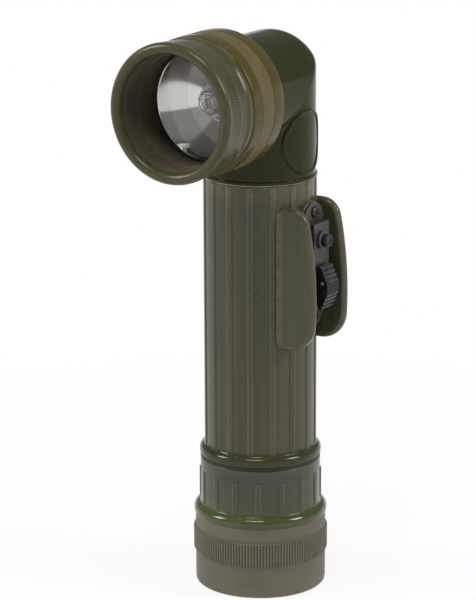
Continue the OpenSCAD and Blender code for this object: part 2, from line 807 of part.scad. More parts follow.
module lamp_strip() {
    low = point_z[1] - 2 * point_r;
    front = seat_gap - dish_back(strip_x - dish_wall)[1];
    color("#b08d4a") difference() {
        across(strip_t, strip_x + strip_t / 2) polygon([
            [-strip_w / 2, low], [strip_w / 2, low],
            [strip_w / 2, head_z + strip_w / 2], [front, head_z + strip_w / 2],
            [front, head_z - strip_w / 2], [-strip_w / 2, head_z - strip_w / 2]]);
        for (z = [point_z[1], button_z]) translate([strip_x - cut, 0, z]) rotate([0, 90, 0])
            cylinder(r = point_r + seat_gap, h = strip_t + 2 * cut);
    }
}

module ground_strip() {
    low = neck_z - loose_gap;
    top = point_z[0] + 2 * point_r;
    color("#b08d4a") difference() {
        translate([strip_x, -strip_w / 2, low]) cube([strip_t, strip_w, top - low]);
        translate([strip_x - cut, 0, point_z[0]]) rotate([0, 90, 0])
            cylinder(r = point_r + seat_gap, h = strip_t + 2 * cut);
    }
}

module cap_contact() {
    cup_r = strip_x + strip_t;
    color("#b08d4a") translate([0, 0, cap_floor_z]) difference() {
        cylinder(r = cup_r, h = neck_z - loose_gap - cup_gap - cap_floor_z);
        translate([0, 0, contact_t]) cylinder(r = cup_r - contact_t, h = neck_z - cap_floor_z);
    }
}

module battery_spring() {
    color("#9a9a94") coil(spring_foot_r, spring_head_r, cap_floor_z + contact_t + spring_wire_r + seat_gap,
        cell_z - spring_wire_r - seat_gap, spring_wire_r, spring_turns);
}

// One cell that stands on z = 0
module cell() {
    top = cell_l - nub_h;
    rotate_extrude() polygon([
        [0, 0], [cell_r - cell_edge, 0], [cell_r, cell_edge], [cell_r, top - cell_edge],
        [cell_r - cell_edge, top], [nub_r, top], [nub_r, cell_l], [0, cell_l]]);
}

module battery_lower() {
    color("#8c8f94") translate([0, 0, cell_z]) cell();
}

module battery_upper() {
    color("#8c8f94") translate([0, 0, cell_z + cell_l]) cell();
}

module switch_base() {
    color("#2a2622") difference() {
        translate([base_block_x, -window_w / 2 + base_block_gap, window_low + base_block_gap])
            cube([seat_x - base_block_x, window_w - 2 * base_block_gap, window_l - 2 * base_block_gap]);
        for (z = concat(point_z, [button_z])) translate([0, 0, z]) rotate([0, 90, 0])
            cylinder(r = point_r + seat_gap, h = seat_x + cut);
        translate([seat_x - pocket_deep, 0, button_z]) rotate([0, 90, 0])
            cylinder(r = pocket_r, h = pocket_deep + cut);
    }
}

module contact_points() {
    color("#b08d4a") for (z = concat(point_z, [button_z])) translate([strip_x, 0, z]) rotate([0, 90, 0]) {
        cylinder(r = point_r, h = seat_x - strip_x + point_head_t);
        translate([0, 0, seat_x - strip_x]) cylinder(r = point_head_r, h = point_head_t);
    }
}

module switch_gasket() {
    color("#1a1a1a") translate([seat_x, 0, cover_z]) at_side() difference() {
        linear_extrude(height = switch_gasket_t) polygon(slot_outline(cover_w, cover_l));
        translate([-window_w / 2 - cover_t, -window_l / 2, -cut])
            cube([window_w + 2 * cover_t, window_l, switch_gasket_t + 2 * cut]);
        for (z = screw_z) translate([0, z - cover_z, -cut])
            cylinder(r = screw_r + seat_gap, h = switch_gasket_t + 2 * cut);
    }
}

module switch_cover() {
    inner_h = cover_x - cover_t - tab_x;
    slot_low = stem_low + slide_low_gap - loose_gap - cover_l / 2;
    slot_l = stem_l + slide_travel + 2 * loose_gap;
    color("#2b2b2d") translate([tab_x, 0, cover_z]) at_side() difference() {
        union() {
            linear_extrude(height = cover_t) polygon(slot_outline(cover_w, cover_l));
            translate([-cover_w / 2, -cover_l / 2, 0]) cube([cover_w, cover_l, cover_x - tab_x]);
            translate([0, button_up, cover_x - tab_x - cut])
                cylinder(r = collar_ring_r, h = collar_ring_h + cut);
        }
        translate([-cover_w / 2 + cover_t, -cover_l / 2 + cover_t, -cut])
            cube([cover_w - 2 * cover_t, cover_l - 2 * cover_t, inner_h + cut]);
        translate([-stem_w / 2 - loose_gap, slot_low, 0]) cube([stem_w + 2 * loose_gap, slot_l, cover_x]);
        translate([0, button_up, 0]) cylinder(r = button_r + button_gap, h = cover_x);
        for (z = screw_z) translate([0, z - cover_z, -cut])
            cylinder(r = screw_r + seat_gap, h = cover_t + 2 * cut);
    }
}

module switch_screws() {
    head_x = tab_x + cover_t;
    color("#39332c") for (z = screw_z) translate([head_x, 0, z]) rotate([0, 90, 0]) difference() {
        union() {
            cylinder(r = screw_head_r, h = screw_head_t);
            translate([0, 0, seat_x - screw_deep + seat_gap - head_x])
                cylinder(r = screw_r, h = head_x - seat_x + screw_deep - seat_gap + screw_head_t / 2);
        }
        for (turn = [45, 135]) rotate([0, 0, turn])
            translate([-screw_slot_l / 2, -screw_slot_w / 2, screw_head_t - screw_slot_t])
            cube([screw_slot_l, screw_slot_w, screw_slot_t + cut]);
    }
}

// Points of one ribbed slope of the slide, as [height above the cover, place along the slide]
function slope(low, high) =
    [for (i = [0:slide_ribs - 1]) for (k = [0, 1, 2])
        let (t = (i + slide_rib_shares[k]) / slide_ribs)
        low + (high - low) * t + (k == 1 ? [slide_rib_h, 0] : [0, 0])];

module switch_slide() {
    x0 = cover_x + slide_gap;
    foot = x0 + slide_end_h;
    crest = cover_x + slide_h;
    crest_low = (slide_l - slide_crest) / 2;
    rise_low = slope([foot, 0], [crest, crest_low]);
    rise_top = slope([crest, slide_l - crest_low], [foot, slide_l]);
    color("#1f1f20") translate([0, 0, slide_z]) difference() {
        union() {
            along(slide_w) polygon(concat([[x0, slide_l], [x0, 0], [foot, 0]], rise_low,
                [[crest, crest_low], [crest, slide_l - crest_low]], rise_top, [[foot, slide_l]]));
            translate([keeper_x, -stem_w / 2, stem_low]) cube([foot - keeper_x, stem_w, stem_l]);
            translate([keeper_x, -keeper_w / 2, keeper_low]) cube([keeper_t, keeper_w, keeper_l]);
        }
        translate([cover_x + slide_pin_h, 0, slide_pin_up]) rotate([90, 0, 0]) translate([0, 0, -slide_w])
            cylinder(r = slide_pin_r + seat_gap, h = 2 * slide_w);
    }
}

module slide_pin() {
    color("#b5733a") translate([cover_x + slide_pin_h, 0, slide_z + slide_pin_up]) rotate([90, 0, 0])
        translate([0, 0, -slide_w / 2]) cylinder(r = slide_pin_r, h = slide_w);
}

module slide_contact() {
    top = keeper_x;
    tip = seat_x + point_head_t + leaf_tip_gap;
    low = slide_z + keeper_low + leaf_spring_t;
    color("#b08d4a") along(leaf_spring_w) polygon([
        [top, low], [top, low + keeper_l - 2 * leaf_spring_t], [tip + leaf_spring_t, low + leaf_spring_l],
        [tip, low + leaf_spring_l - leaf_spring_t], [top - leaf_spring_t, low + keeper_l - 3 * leaf_spring_t],
        [top - leaf_spring_t, low]]);
}

module flash_button() {
    end_x = cover_x + button_h;
    flange_end_x = button_flange_x + button_flange_t;
    color("#1f1f20") translate([0, 0, button_z]) rotate([0, 90, 0]) {
        translate([0, 0, button_flange_x]) cylinder(r = button_r, h = end_x - button_flange_x - button_edge);
        translate([0, 0, end_x - button_edge])
            cylinder(r1 = button_r, r2 = button_r - button_edge, h = button_edge);
        translate([0, 0, button_flange_x]) cylinder(r = button_flange_r, h = button_flange_t);
        translate([0, 0, button_end_x]) cylinder(r = button_end_r, h = flange_end_x - button_end_x);
    }
}

module button_spring() {
    low = seat_x - pocket_deep + button_wire_r + seat_gap;
    top = button_flange_x - button_wire_r - seat_gap;
    color("#9a9a94") translate([0, 0, button_z]) rotate([0, 90, 0])
        coil(button_coil_r, button_coil_r, low, top, button_wire_r, button_turns);
}

module belt_clip_root() {
    color("#3a3c2c") difference() {
        translate([-clip_w / 2, clip_seat_y, clip_top - clip_root_l]) cube([clip_w, clip_t, clip_root_l]);
        for (z = clip_rivet_z) translate([0, clip_seat_y - cut, z]) rotate([-90, 0, 0])
            cylinder(r = clip_rivet_r + seat_gap, h = clip_t + 2 * cut);
    }
}

module belt_clip_arm() {
    top = clip_top - clip_root_l - clip_split;
    out = clip_seat_y + clip_gap;
    near = clip_seat_y + clip_close;
    low = barrel_z + bead_h + clip_lift;
    bend_z = low + clip_tip_l;
    color("#3a3c2c") across(clip_w) polygon([
        [clip_seat_y, top], [out, top - clip_knee_l], [near, bend_z], [near + clip_tip_out, low],
        [near + clip_tip_out + clip_t, low], [near + clip_t, bend_z], [out + clip_t, top - clip_knee_l],
        [clip_seat_y + clip_t, top]]);
}

module clip_rivets() {
    sphere_r = (clip_rivet_head * clip_rivet_head + clip_rivet_dome * clip_rivet_dome) / (2 * clip_rivet_dome);
    shank_y = bore_r + loose_gap + seat_gap;
    head_y = clip_seat_y + clip_t;
    color("#8a8676") for (z = clip_rivet_z) translate([0, 0, z]) rotate([-90, 0, 0]) {
        translate([0, 0, shank_y]) cylinder(r = clip_rivet_r, h = head_y - shank_y + clip_rivet_dome / 2);
        intersection() {
            translate([0, 0, head_y]) cylinder(r = clip_rivet_head + cut, h = clip_rivet_dome + cut);
            translate([0, 0, head_y + clip_rivet_dome - sphere_r]) sphere(r = sphere_r);
        }
    }
}

// The height of the spare bulb's flange, which stands on the cradle
spare_z = cradle_z + bulb_tip_h + bulb_shell_l + bulb_flange_t;

module spare_bulb_glass() {
    color([0.95, 0.97, 0.97, 0.35]) translate([0, 0, spare_z]) glass();
}

module spare_bulb_base() {
    color("#b9b4a4") translate([0, 0, spare_z]) shell();
}

module spare_bulb_filament() {
    color("#777777") translate([0, 0, spare_z]) filament();
}

module spare_bulb_cradle() {
    color("#262626") translate([0, 0, cradle_z])
        ring(cap_neck_in - loose_gap, bulb_shell_r + seat_gap, bulb_tip_h + bulb_shell_l);
}

// The spare filter at one place in the stack, counted from the floor
module filter(place) {
    translate([0, 0, filter_z + place * filter_t]) cylinder(r = base_in - loose_gap, h = filter_t);
}

module filter_red() {
    color([0.7, 0.05, 0.05, 0.6]) filter(0);
}

module filter_blue() {
    color([0.05, 0.15, 0.6, 0.6]) filter(1);
}

module filter_green() {
    color([0.05, 0.45, 0.2, 0.6]) filter(2);
}

module filter_clear() {
    color([0.85, 0.88, 0.88, 0.5]) filter(3);
}

barrel();
head_elbow();
battery_cap();
cap_gasket();
base_cap();
base_gasket();
lens_ring();
hood_ring();
hood_gasket();
lens();
lens_gasket();
reflector();
bulb_glass();
bulb_base();
bulb_filament();
bulb_holder();
bulb_contact();
contact_disc();
disc_rivet();
lamp_leaf();
lamp_strip();
ground_strip();
cap_contact();
battery_spring();
battery_lower();
battery_upper();
switch_base();
contact_points();
switch_gasket();
switch_cover();
switch_screws();
switch_slide();
slide_pin();
slide_contact();
flash_button();
button_spring();
belt_clip_root();
belt_clip_arm();
clip_rivets();
spare_bulb_glass();
spare_bulb_base();
spare_bulb_filament();
spare_bulb_cradle();
filter_red();
filter_blue();
filter_green();
filter_clear();
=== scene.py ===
from math import asin, atan2, cos, degrees, hypot, pi, radians, sin, sqrt

import bmesh
import bpy
import numpy as np
from bpy.props import FloatProperty, FloatVectorProperty, IntProperty, PointerProperty
from mathutils import Matrix, Vector


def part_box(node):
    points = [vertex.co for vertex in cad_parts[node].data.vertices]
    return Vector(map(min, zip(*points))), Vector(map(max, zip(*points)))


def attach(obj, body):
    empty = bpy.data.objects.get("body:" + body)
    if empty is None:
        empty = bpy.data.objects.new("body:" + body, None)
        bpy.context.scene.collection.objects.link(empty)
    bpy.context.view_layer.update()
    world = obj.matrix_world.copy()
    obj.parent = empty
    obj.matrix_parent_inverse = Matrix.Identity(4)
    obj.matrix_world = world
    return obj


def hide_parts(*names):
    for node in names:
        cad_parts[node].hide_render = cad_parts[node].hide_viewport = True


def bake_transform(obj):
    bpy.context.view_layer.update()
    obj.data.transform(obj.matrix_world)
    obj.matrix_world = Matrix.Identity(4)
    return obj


bl_info = {
    "name": "Angle-head flashlight",
    "version": (1, 0, 0),
    "blender": (4, 5, 0),
    "location": "View3D > Sidebar > Flashlight",
    "description": "Builds the looks of an angle-head flashlight round its packed parts",
    "category": "Add Mesh",
}

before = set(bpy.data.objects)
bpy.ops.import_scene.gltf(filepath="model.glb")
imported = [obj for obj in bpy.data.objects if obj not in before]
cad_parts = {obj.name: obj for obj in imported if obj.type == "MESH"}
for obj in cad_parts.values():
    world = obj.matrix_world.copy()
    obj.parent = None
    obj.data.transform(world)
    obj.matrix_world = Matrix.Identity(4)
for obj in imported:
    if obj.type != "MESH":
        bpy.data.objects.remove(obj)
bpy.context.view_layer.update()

# Everything below is drawn in millimetres and made metres when a piece is placed.
MM = 0.001

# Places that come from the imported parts
HEAD_Z = (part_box("lens")[0].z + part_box("lens")[1].z) / 2 / MM
SEAM_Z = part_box("barrel")[1].z / MM
BUTTON_Z = (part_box("flash_button")[0].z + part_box("flash_button")[1].z) / 2 / MM
SLIDE_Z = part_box("switch_slide")[0].z / MM
COVER_LOW, COVER_TOP = (c.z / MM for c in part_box("switch_cover"))
COVER_Z = (COVER_LOW + COVER_TOP) / 2

# Radii and places that several pieces share
BARREL_R = 19.5
BORE_R = 17.4
ELBOW_R = 19.4
CORNER_R = 21.7
CAP_R = 21.2
PAD_R = 11.2
PAD_Z = HEAD_Z - (PAD_R + 0.6) * sqrt(2)
WING_TOP = SEAM_Z - 7.2
WING_LOW = SEAM_Z - 57.7
CLIP_TOP = SEAM_Z - 7.2
COVER_L = 32.3
COVER_X = 25.9
TAB_X = 21.5
SEAT_X = 21.0
SCREW_OUT = COVER_L / 2 + 2.4

# Radius, low end and top of each knurled band, from the base and from the head's root
BASE_BAND = (23.8, 12.4, 20.2)
RING_BAND = (23.86, 27.9, 34.8)
HOOD_BAND = (23.5, 47.85, 53.0)

# Degrees between ribs, and how finely ribs and teeth are turned
RIB_PITCH = 22.5
RIB_STEPS = 720
TOOTH_STEPS = 4

# Points nearer than these are joined
FINE_WELD = 1e-4
WELD = 2e-4
COARSE_WELD = 1e-3

# Turns: upright, on the head's axis, facing the switch's side, and on edge
UP = Matrix.Identity(4)
HEAD = Matrix.Translation((0, 0, HEAD_Z)) @ Matrix.Rotation(pi / 2, 4, "X")
SIDE = Matrix(((0, 0, 1, 0), (1, 0, 0, 0), (0, 1, 0, 0), (0, 0, 0, 1)))
ON_EDGE = Matrix(((1, 0, 0, 0), (0, 0, 1, 0), (0, 1, 0, 0), (0, 0, 0, 1)))

CAMERA_PLACE = (0.5162, -0.8058, 0.3604)
CAMERA_TURN = (74.927, 0.211, 33.019)
CAMERA_LENS = 169.7
CAMERA_SHIFT = (-0.0025, 0.0008)

# The stage, in metres
WORLD_LIGHT = 0.28
FLOOR_R = 6.0
COVE_R = 0.4
COVE_STEPS = 6
WALL_TOP = 1.1

# Name, place, target, size and power of each lamp
LAMPS = (
    ("key left", (-0.70, -0.52, 0.66), (0, 0, 0.12), (0.30, 0.42), 4.8),
    ("front", (0.13, -0.46, 1.06), (0, 0, 0.12), (0.42, 0.22), 3.7),
    ("fill right", (0.76, 0.26, 0.72), (0, 0, 0.11), (0.30, 0.42), 5.2),
)


class LightSizes(bpy.types.PropertyGroup):
    """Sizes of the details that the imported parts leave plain"""

    rib_height: FloatProperty(
        name="Rib height", description="Height of the barrel's ribs",
        default=0.45 * MM, min=0.1 * MM, max=1 * MM, subtype="DISTANCE", unit="LENGTH")
    rib_width: FloatProperty(
        name="Rib width", description="Width of a rib at half its height",
        default=2.0 * MM, min=1 * MM, max=3.2 * MM, subtype="DISTANCE", unit="LENGTH")
    knurl_depth: FloatProperty(
        name="Knurl depth", description="Depth of the grooves in the base cap's knurled band",
        default=0.35 * MM, min=0.1 * MM, max=0.6 * MM, subtype="DISTANCE", unit="LENGTH")
    fine_knurl_depth: FloatProperty(
        name="Fine knurl depth", description="Depth of the grooves in the head's two worn bands",
        default=0.12 * MM, min=0.02 * MM, max=0.3 * MM, subtype="DISTANCE", unit="LENGTH")
    knurl_teeth: IntProperty(
        name="Knurl teeth", description="Teeth in each knurled band",
        default=140, min=60, max=160)
    wing_round: FloatProperty(
        name="Wing edge", description="Radius of the guard wings' rounded edges",
        default=1.55 * MM, min=0.2 * MM, max=1.65 * MM, subtype="DISTANCE", unit="LENGTH")


class LightColours(bpy.types.PropertyGroup):
    """Colours of the moulded pieces"""

    barrel: FloatVectorProperty(
        name="Barrel", description="Colour of the barrel and its wings",
        default=(0.064, 0.062, 0.035), min=0, max=1, subtype="COLOR")
    bead: FloatVectorProperty(
        name="Bead", description="Colour of the barrel's polished bead",
        default=(0.040, 0.041, 0.014), min=0, max=1, subtype="COLOR")
    elbow: FloatVectorProperty(
        name="Elbow", description="Colour of the elbow",
        default=(0.029, 0.029, 0.010), min=0, max=1, subtype="COLOR")
    cap: FloatVectorProperty(
        name="Battery cap", description="Colour of the battery cap",
        default=(0.054, 0.054, 0.032), min=0, max=1, subtype="COLOR")
    cap_foot: FloatVectorProperty(
        name="Cap foot", description="Colour of the battery cap's polished foot",
        default=(0.062, 0.074, 0.024), min=0, max=1, subtype="COLOR")
    base: FloatVectorProperty(
        name="Base cap", description="Colour of the base cap",
        default=(0.144, 0.129, 0.097), min=0, max=1, subtype="COLOR")
    ring: FloatVectorProperty(
        name="Lens ring", description="Colour of the lens ring",
        default=(0.070, 0.056, 0.013), min=0, max=1, subtype="COLOR")
    hood: FloatVectorProperty(
        name="Hood", description="Colour of the hood ring",
        default=(0.066, 0.061, 0.027), min=0, max=1, subtype="COLOR")
    hood_inside: FloatVectorProperty(
        name="Hood inside", description="Colour of the hood's dull inner wall",
        default=(0.100, 0.084, 0.056), min=0, max=1, subtype="COLOR")


def sizes():
    """The sizes set in the panel."""
    return bpy.context.scene.light_sizes


def colours():
    """The colours set in the panel."""
    return bpy.context.scene.light_colours


# Shapes


def arc(c, r, start, end, n=8):
    """Points of an arc round c, from one angle to another in degrees."""
    turns = [radians(start + (end - start) * i / n) for i in range(n + 1)]
    return [(c[0] + r * cos(t), c[1] + r * sin(t), 0) for t in turns]


def softened(points, radius):
    """A closed outline with each corner rounded, by a third number where it has its own."""
    out, steps, most = [], 3, 0.45
    for i, p in enumerate(points):
        size = p[2] if len(p) > 2 else radius
        a, b, c = (Vector(q[:2]) for q in (points[i - 1], p, points[(i + 1) % len(points)]))
        if b.x < 1e-6 or size <= 0:
            out.append(tuple(b))
            continue
        u, v = a - b, c - b
        t = min(size, most * u.length, most * v.length)
        p0, p1 = b + u.normalized() * t, b + v.normalized() * t
        for k in range(steps + 1):
            s = k / steps
            out.append(tuple(p0 * (1 - s) ** 2 + b * 2 * s * (1 - s) + p1 * s * s))
    return out


def weld(bm, dist):
    """Join points nearer than a distance."""
    bmesh.ops.remove_doubles(bm, verts=bm.verts[:], dist=dist)


def turned(profile, steps, wave=None, corner=0.12):
    """A closed outline of radius and height turned once round Z, with a wave in its radius."""
    bm = bmesh.new()
    verts = [bm.verts.new((r, 0, h)) for r, h in softened(profile, corner)]
    for a, b in zip(verts, verts[1:] + verts[:1]):
        if a.co.x > 1e-6 or b.co.x > 1e-6:
            bm.edges.new((a, b))
    bmesh.ops.spin(
        bm, geom=bm.verts[:] + bm.edges[:], cent=(0, 0, 0), axis=(0, 0, 1), dvec=(0, 0, 0),
        angle=2 * pi, steps=steps, use_merge=True, use_duplicate=False)
    weld(bm, FINE_WELD)
    if wave:
        for v in bm.verts:
            r = hypot(v.co.x, v.co.y)
            if r > 1e-3:
                share = 1 + wave(degrees(atan2(v.co.y, v.co.x)), r, v.co.z) / r
                v.co.x *= share
                v.co.y *= share
    return bm


def sharp_edges(bm, turn):
    """The edges whose faces meet at more than a turn in radians."""
    return [e for e in bm.edges if e.calc_face_angle(0) > turn]


def rounded(bm, edges, size, segments):
    """Round the edges with a bevel."""
    bmesh.ops.bevel(
        bm, geom=edges, offset=size, offset_type="OFFSET", segments=segments,
        profile=0.5, affect="EDGES", material=-1, clamp_overlap=True)


def slab(outline, low, high, corner=0, segments=3):
    """A flat outline extruded from low to high along Z, with all its edges rounded."""
    bm = bmesh.new()
    face = bm.faces.new([bm.verts.new((p[0], p[1], low)) for p in outline])
    extruded = bmesh.ops.extrude_face_region(bm, geom=[face])
    verts = [g for g in extruded["geom"] if isinstance(g, bmesh.types.BMVert)]
    bmesh.ops.translate(bm, verts=verts, vec=(0, 0, high - low))
    bmesh.ops.recalc_face_normals(bm, faces=bm.faces[:])
    if corner:
        rounded(bm, sharp_edges(bm, 0.6), corner, segments)
    return bm


def block(x, y, z, corner=0):
    """A box between two places on each axis."""
    outline = [(x[0], y[0]), (x[1], y[0]), (x[1], y[1]), (x[0], y[1])]
    return slab(outline, z[0], z[1], corner)


def stadium(w, length, n=10):
    """Outline of an upright slot with round ends."""
    return arc((0, length / 2), w / 2, 0, 180, n) + arc((0, -length / 2), w / 2, 180, 360, n)


def washer(r, bore, low, high, corner=0.25):
    """A soft ring with rounded edges."""
    return turned([(bore, low), (r, low, corner), (r, high, corner), (bore, high)], 192)


def at(x=0.0, y=0.0, z=0.0):
    """The matrix that carries a piece to a place."""
    return Matrix.Translation((x, y, z))


def moved(bm, place):
    """The bmesh with its points carried by a matrix."""
    bm.transform(place)
    return bm


def joined(*meshes):
    """One bmesh of several."""
    bm = bmesh.new()
    for other in meshes:
        mesh = bpy.data.meshes.new("part")
        other.to_mesh(mesh)
        other.free()
        bm.from_mesh(mesh)
        bpy.data.meshes.remove(mesh)
    return bm


def new_object(name, data):
    """A scene object of a mesh, lamp or camera."""
    obj = bpy.data.objects.new(name, data)
    bpy.context.scene.collection.objects.link(obj)
    return obj


def from_bmesh(bm, name):
    """A scene object made from a bmesh."""
    mesh = bpy.data.meshes.new(name)
    bm.to_mesh(mesh)
    bm.free()
    return new_object(name, mesh)


def removed(obj):
    """Take an object and its mesh out of the file."""
    mesh = obj.data
    bpy.data.objects.remove(obj)
    bpy.data.meshes.remove(mesh)


def finished(body):
    """A bmesh of the object with its modifiers applied, and the object gone."""
    bpy.context.view_layer.update()
    evaluated = body.evaluated_get(bpy.context.evaluated_depsgraph_get())
    out = bmesh.new()
    out.from_mesh(evaluated.to_mesh())
    evaluated.to_mesh_clear()
    removed(body)
    return out


def carved(bm, *cutters):
    """The bmesh less the cutters, by Blender's own boolean."""
    body = from_bmesh(bm, "carved")
    tools = [from_bmesh(c, "cutter") for c in cutters]
    for tool in tools:
        cut = body.modifiers.new("cut", "BOOLEAN")
        cut.operation = "DIFFERENCE"
        cut.solver = "EXACT"
        cut.object = tool
    out = finished(body)
    for tool in tools:
        removed(tool)
    return out


def edge_wear_and_shade(bm):
    """How far each face's corners stand out: 1 on a ridge, -1 in a groove, 0 on wide flats."""
    full_turn, narrow_side, wide_side = 1.2, 0.8 * MM, 1.5 * MM
    values = []
    for v in bm.verts:
        turns = [e.calc_face_angle_signed(0) for e in v.link_edges if len(e.link_faces) == 2]
        values.append(max(-1.0, min(1.0, sum(turns) / full_turn)))
    bm.verts.index_update()
    out = []
    for f in bm.faces:
        wide = (min(e.calc_length() for e in f.edges) > narrow_side
                or (len(f.verts) > 4 and f.calc_area() > wide_side ** 2))
        out += [0.0 if wide else values[v.index] for v in f.verts]
    return out


def placed(bm, name, place, material, body, nodes, sharp=35, others=(), flats=False):
    """The finished piece: metres, smooth shading, sharp edges, finishes, body and nodes.

    Each of others is a second finish and a test of a face's radius and height as drawn.
    With flats, large flat faces keep an even shade beside small rounded ones.
    """
    weld(bm, WELD)
    bmesh.ops.recalc_face_normals(bm, faces=bm.faces[:])
    for f in bm.faces:
        f.smooth = True
        c = f.calc_center_median()
        for i, (_, test) in enumerate(others):
            if test(hypot(c.x, c.y), c.z):
                f.material_index = i + 1
    bm.transform(Matrix.Scale(MM, 4) @ place)
    ridges_and_grooves = edge_wear_and_shade(bm)
    for e in bm.edges:
        e.smooth = e.calc_face_angle(0) < radians(sharp)
    obj = from_bmesh(bm, name)
    # Ridge and groove values for the finishes: wear and painted highlight on ridges, painted shade
    # in grooves.
    layer = obj.data.attributes.new("edge_wear_and_shade", "FLOAT", "CORNER")
    layer.data.foreach_set("value", np.array(ridges_and_grooves, np.float32))
    for mat in (material, *(m for m, _ in others)):
        obj.data.materials.append(mat)
    if flats:
        shade = obj.modifiers.new("even flats", "WEIGHTED_NORMAL")
        shade.weight = 100
        shade.keep_sharp = True
    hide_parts(*nodes)
    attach(obj, body)
    return obj


def paint(material, *names):
    """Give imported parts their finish."""
    for name in names:
        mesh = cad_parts[name].data
        mesh.materials.clear()
        mesh.materials.append(material)


# Finishes

DUST = (0.26, 0.25, 0.2)


class Finish:
    """A material built node by node on the object's own coordinates."""

    def __init__(self, name):
        self.mat = bpy.data.materials.get(name) or bpy.data.materials.new(name)
        self.mat.use_nodes = True
        self.tree = self.mat.node_tree
        self.tree.nodes.clear()
        self.out = self.node("ShaderNodeOutputMaterial")
        self.bsdf = self.node("ShaderNodeBsdfPrincipled")
        self.feed(self.out.inputs[0], self.bsdf.outputs[0])
        self.coords = self.node("ShaderNodeTexCoord").outputs["Object"]

    def feed(self, socket, value):
        """Link a socket to another, or set it to a constant."""
        if isinstance(value, bpy.types.NodeSocket):
            self.tree.links.new(value, socket)
        else:
            socket.default_value = value

    def fed(self, node, **values):
        """The node with some inputs fed, _ standing for a space in their names."""
        for key, value in values.items():
            self.feed(node.inputs[key.replace("_", " ")], value)
        return node

    def node(self, kind, **values):
        """A new node with some inputs fed."""
        return self.fed(self.tree.nodes.new(kind), **values)

    def set(self, **values):
        """Feed inputs of the main shader."""
        self.fed(self.bsdf, **values)

    def mapping(self, scale=(1, 1, 1), turn=(0, 0, 0), shift=(0, 0, 0)):
        """The object's coordinates scaled, turned and shifted."""
        made = self.node("ShaderNodeMapping", Scale=scale, Rotation=turn, Location=shift)
        self.feed(made.inputs["Vector"], self.coords)
        return made.outputs[0]

    def noise(self, scale, detail=3, rough=0.55, distortion=0, stretch=None):
        """Noise, drawn out along an axis by a small stretch."""
        vector = self.mapping(stretch) if stretch else self.coords
        return self.node(
            "ShaderNodeTexNoise", Vector=vector, Scale=scale, Detail=detail, Roughness=rough,
            Distortion=distortion).outputs["Fac"]

    def specks(self, scale, size):
        """Small scattered dots, 1 inside a dot."""
        cells = self.node("ShaderNodeTexVoronoi", Vector=self.coords, Scale=scale)
        near = self.remap(cells.outputs["Distance"], size, size * 0.4)
        keep = self.node("ShaderNodeSeparateColor")
        self.feed(keep.inputs[0], cells.outputs["Color"])
        return self.math("MULTIPLY", near, self.remap(keep.outputs[0], 0.72, 0.78))

    def remap(self, fac, a, b, lo=0.0, hi=1.0):
        """The range from a to b made one from lo to hi, and cut off there."""
        made = self.node("ShaderNodeMapRange", From_Min=a, From_Max=b, To_Min=lo, To_Max=hi)
        self.feed(made.inputs["Value"], fac)
        return made.outputs[0]

    def math(self, kind, a, b=0.0):
        """A sum, product or other calculation of one or two values."""
        made = self.node("ShaderNodeMath")
        made.operation = kind
        self.feed(made.inputs[0], a)
        self.feed(made.inputs[1], b)
        return made.outputs[0]

    def mix(self, fac, a, b):
        """A colour between two, by a factor."""
        made = self.node("ShaderNodeMix")
        made.data_type = "RGBA"
        self.feed(made.inputs["Factor"], fac)
        for key, value in (("A", a), ("B", b)):
            socket = [s for s in made.inputs if s.name == key and s.type == "RGBA"][0]
            self.feed(socket, value if isinstance(value, bpy.types.NodeSocket) else (*value, 1))
        return [s for s in made.outputs if s.type == "RGBA"][0]

    def ridges_and_grooves(self):
        """The ridge and groove values found on the mesh: ridges for wear and painted highlight,
        grooves for painted shade.
        """
        attribute = self.node("ShaderNodeAttribute")
        attribute.attribute_name = "edge_wear_and_shade"
        return attribute.outputs["Fac"]

    def bump(self, *layers):
        """Bump from pairs of height and depth in millimetres."""
        normal = None
        for height, depth in layers:
            layer = self.node("ShaderNodeBump", Strength=1, Distance=depth * MM, Height=height)
            if normal:
                self.feed(layer.inputs["Normal"], normal)
            normal = layer.outputs[0]
        self.feed(self.bsdf.inputs["Normal"], normal)


def tint(colour, share):
    """The colour made lighter or darker."""
    return tuple(min(1, c * share) for c in colour)


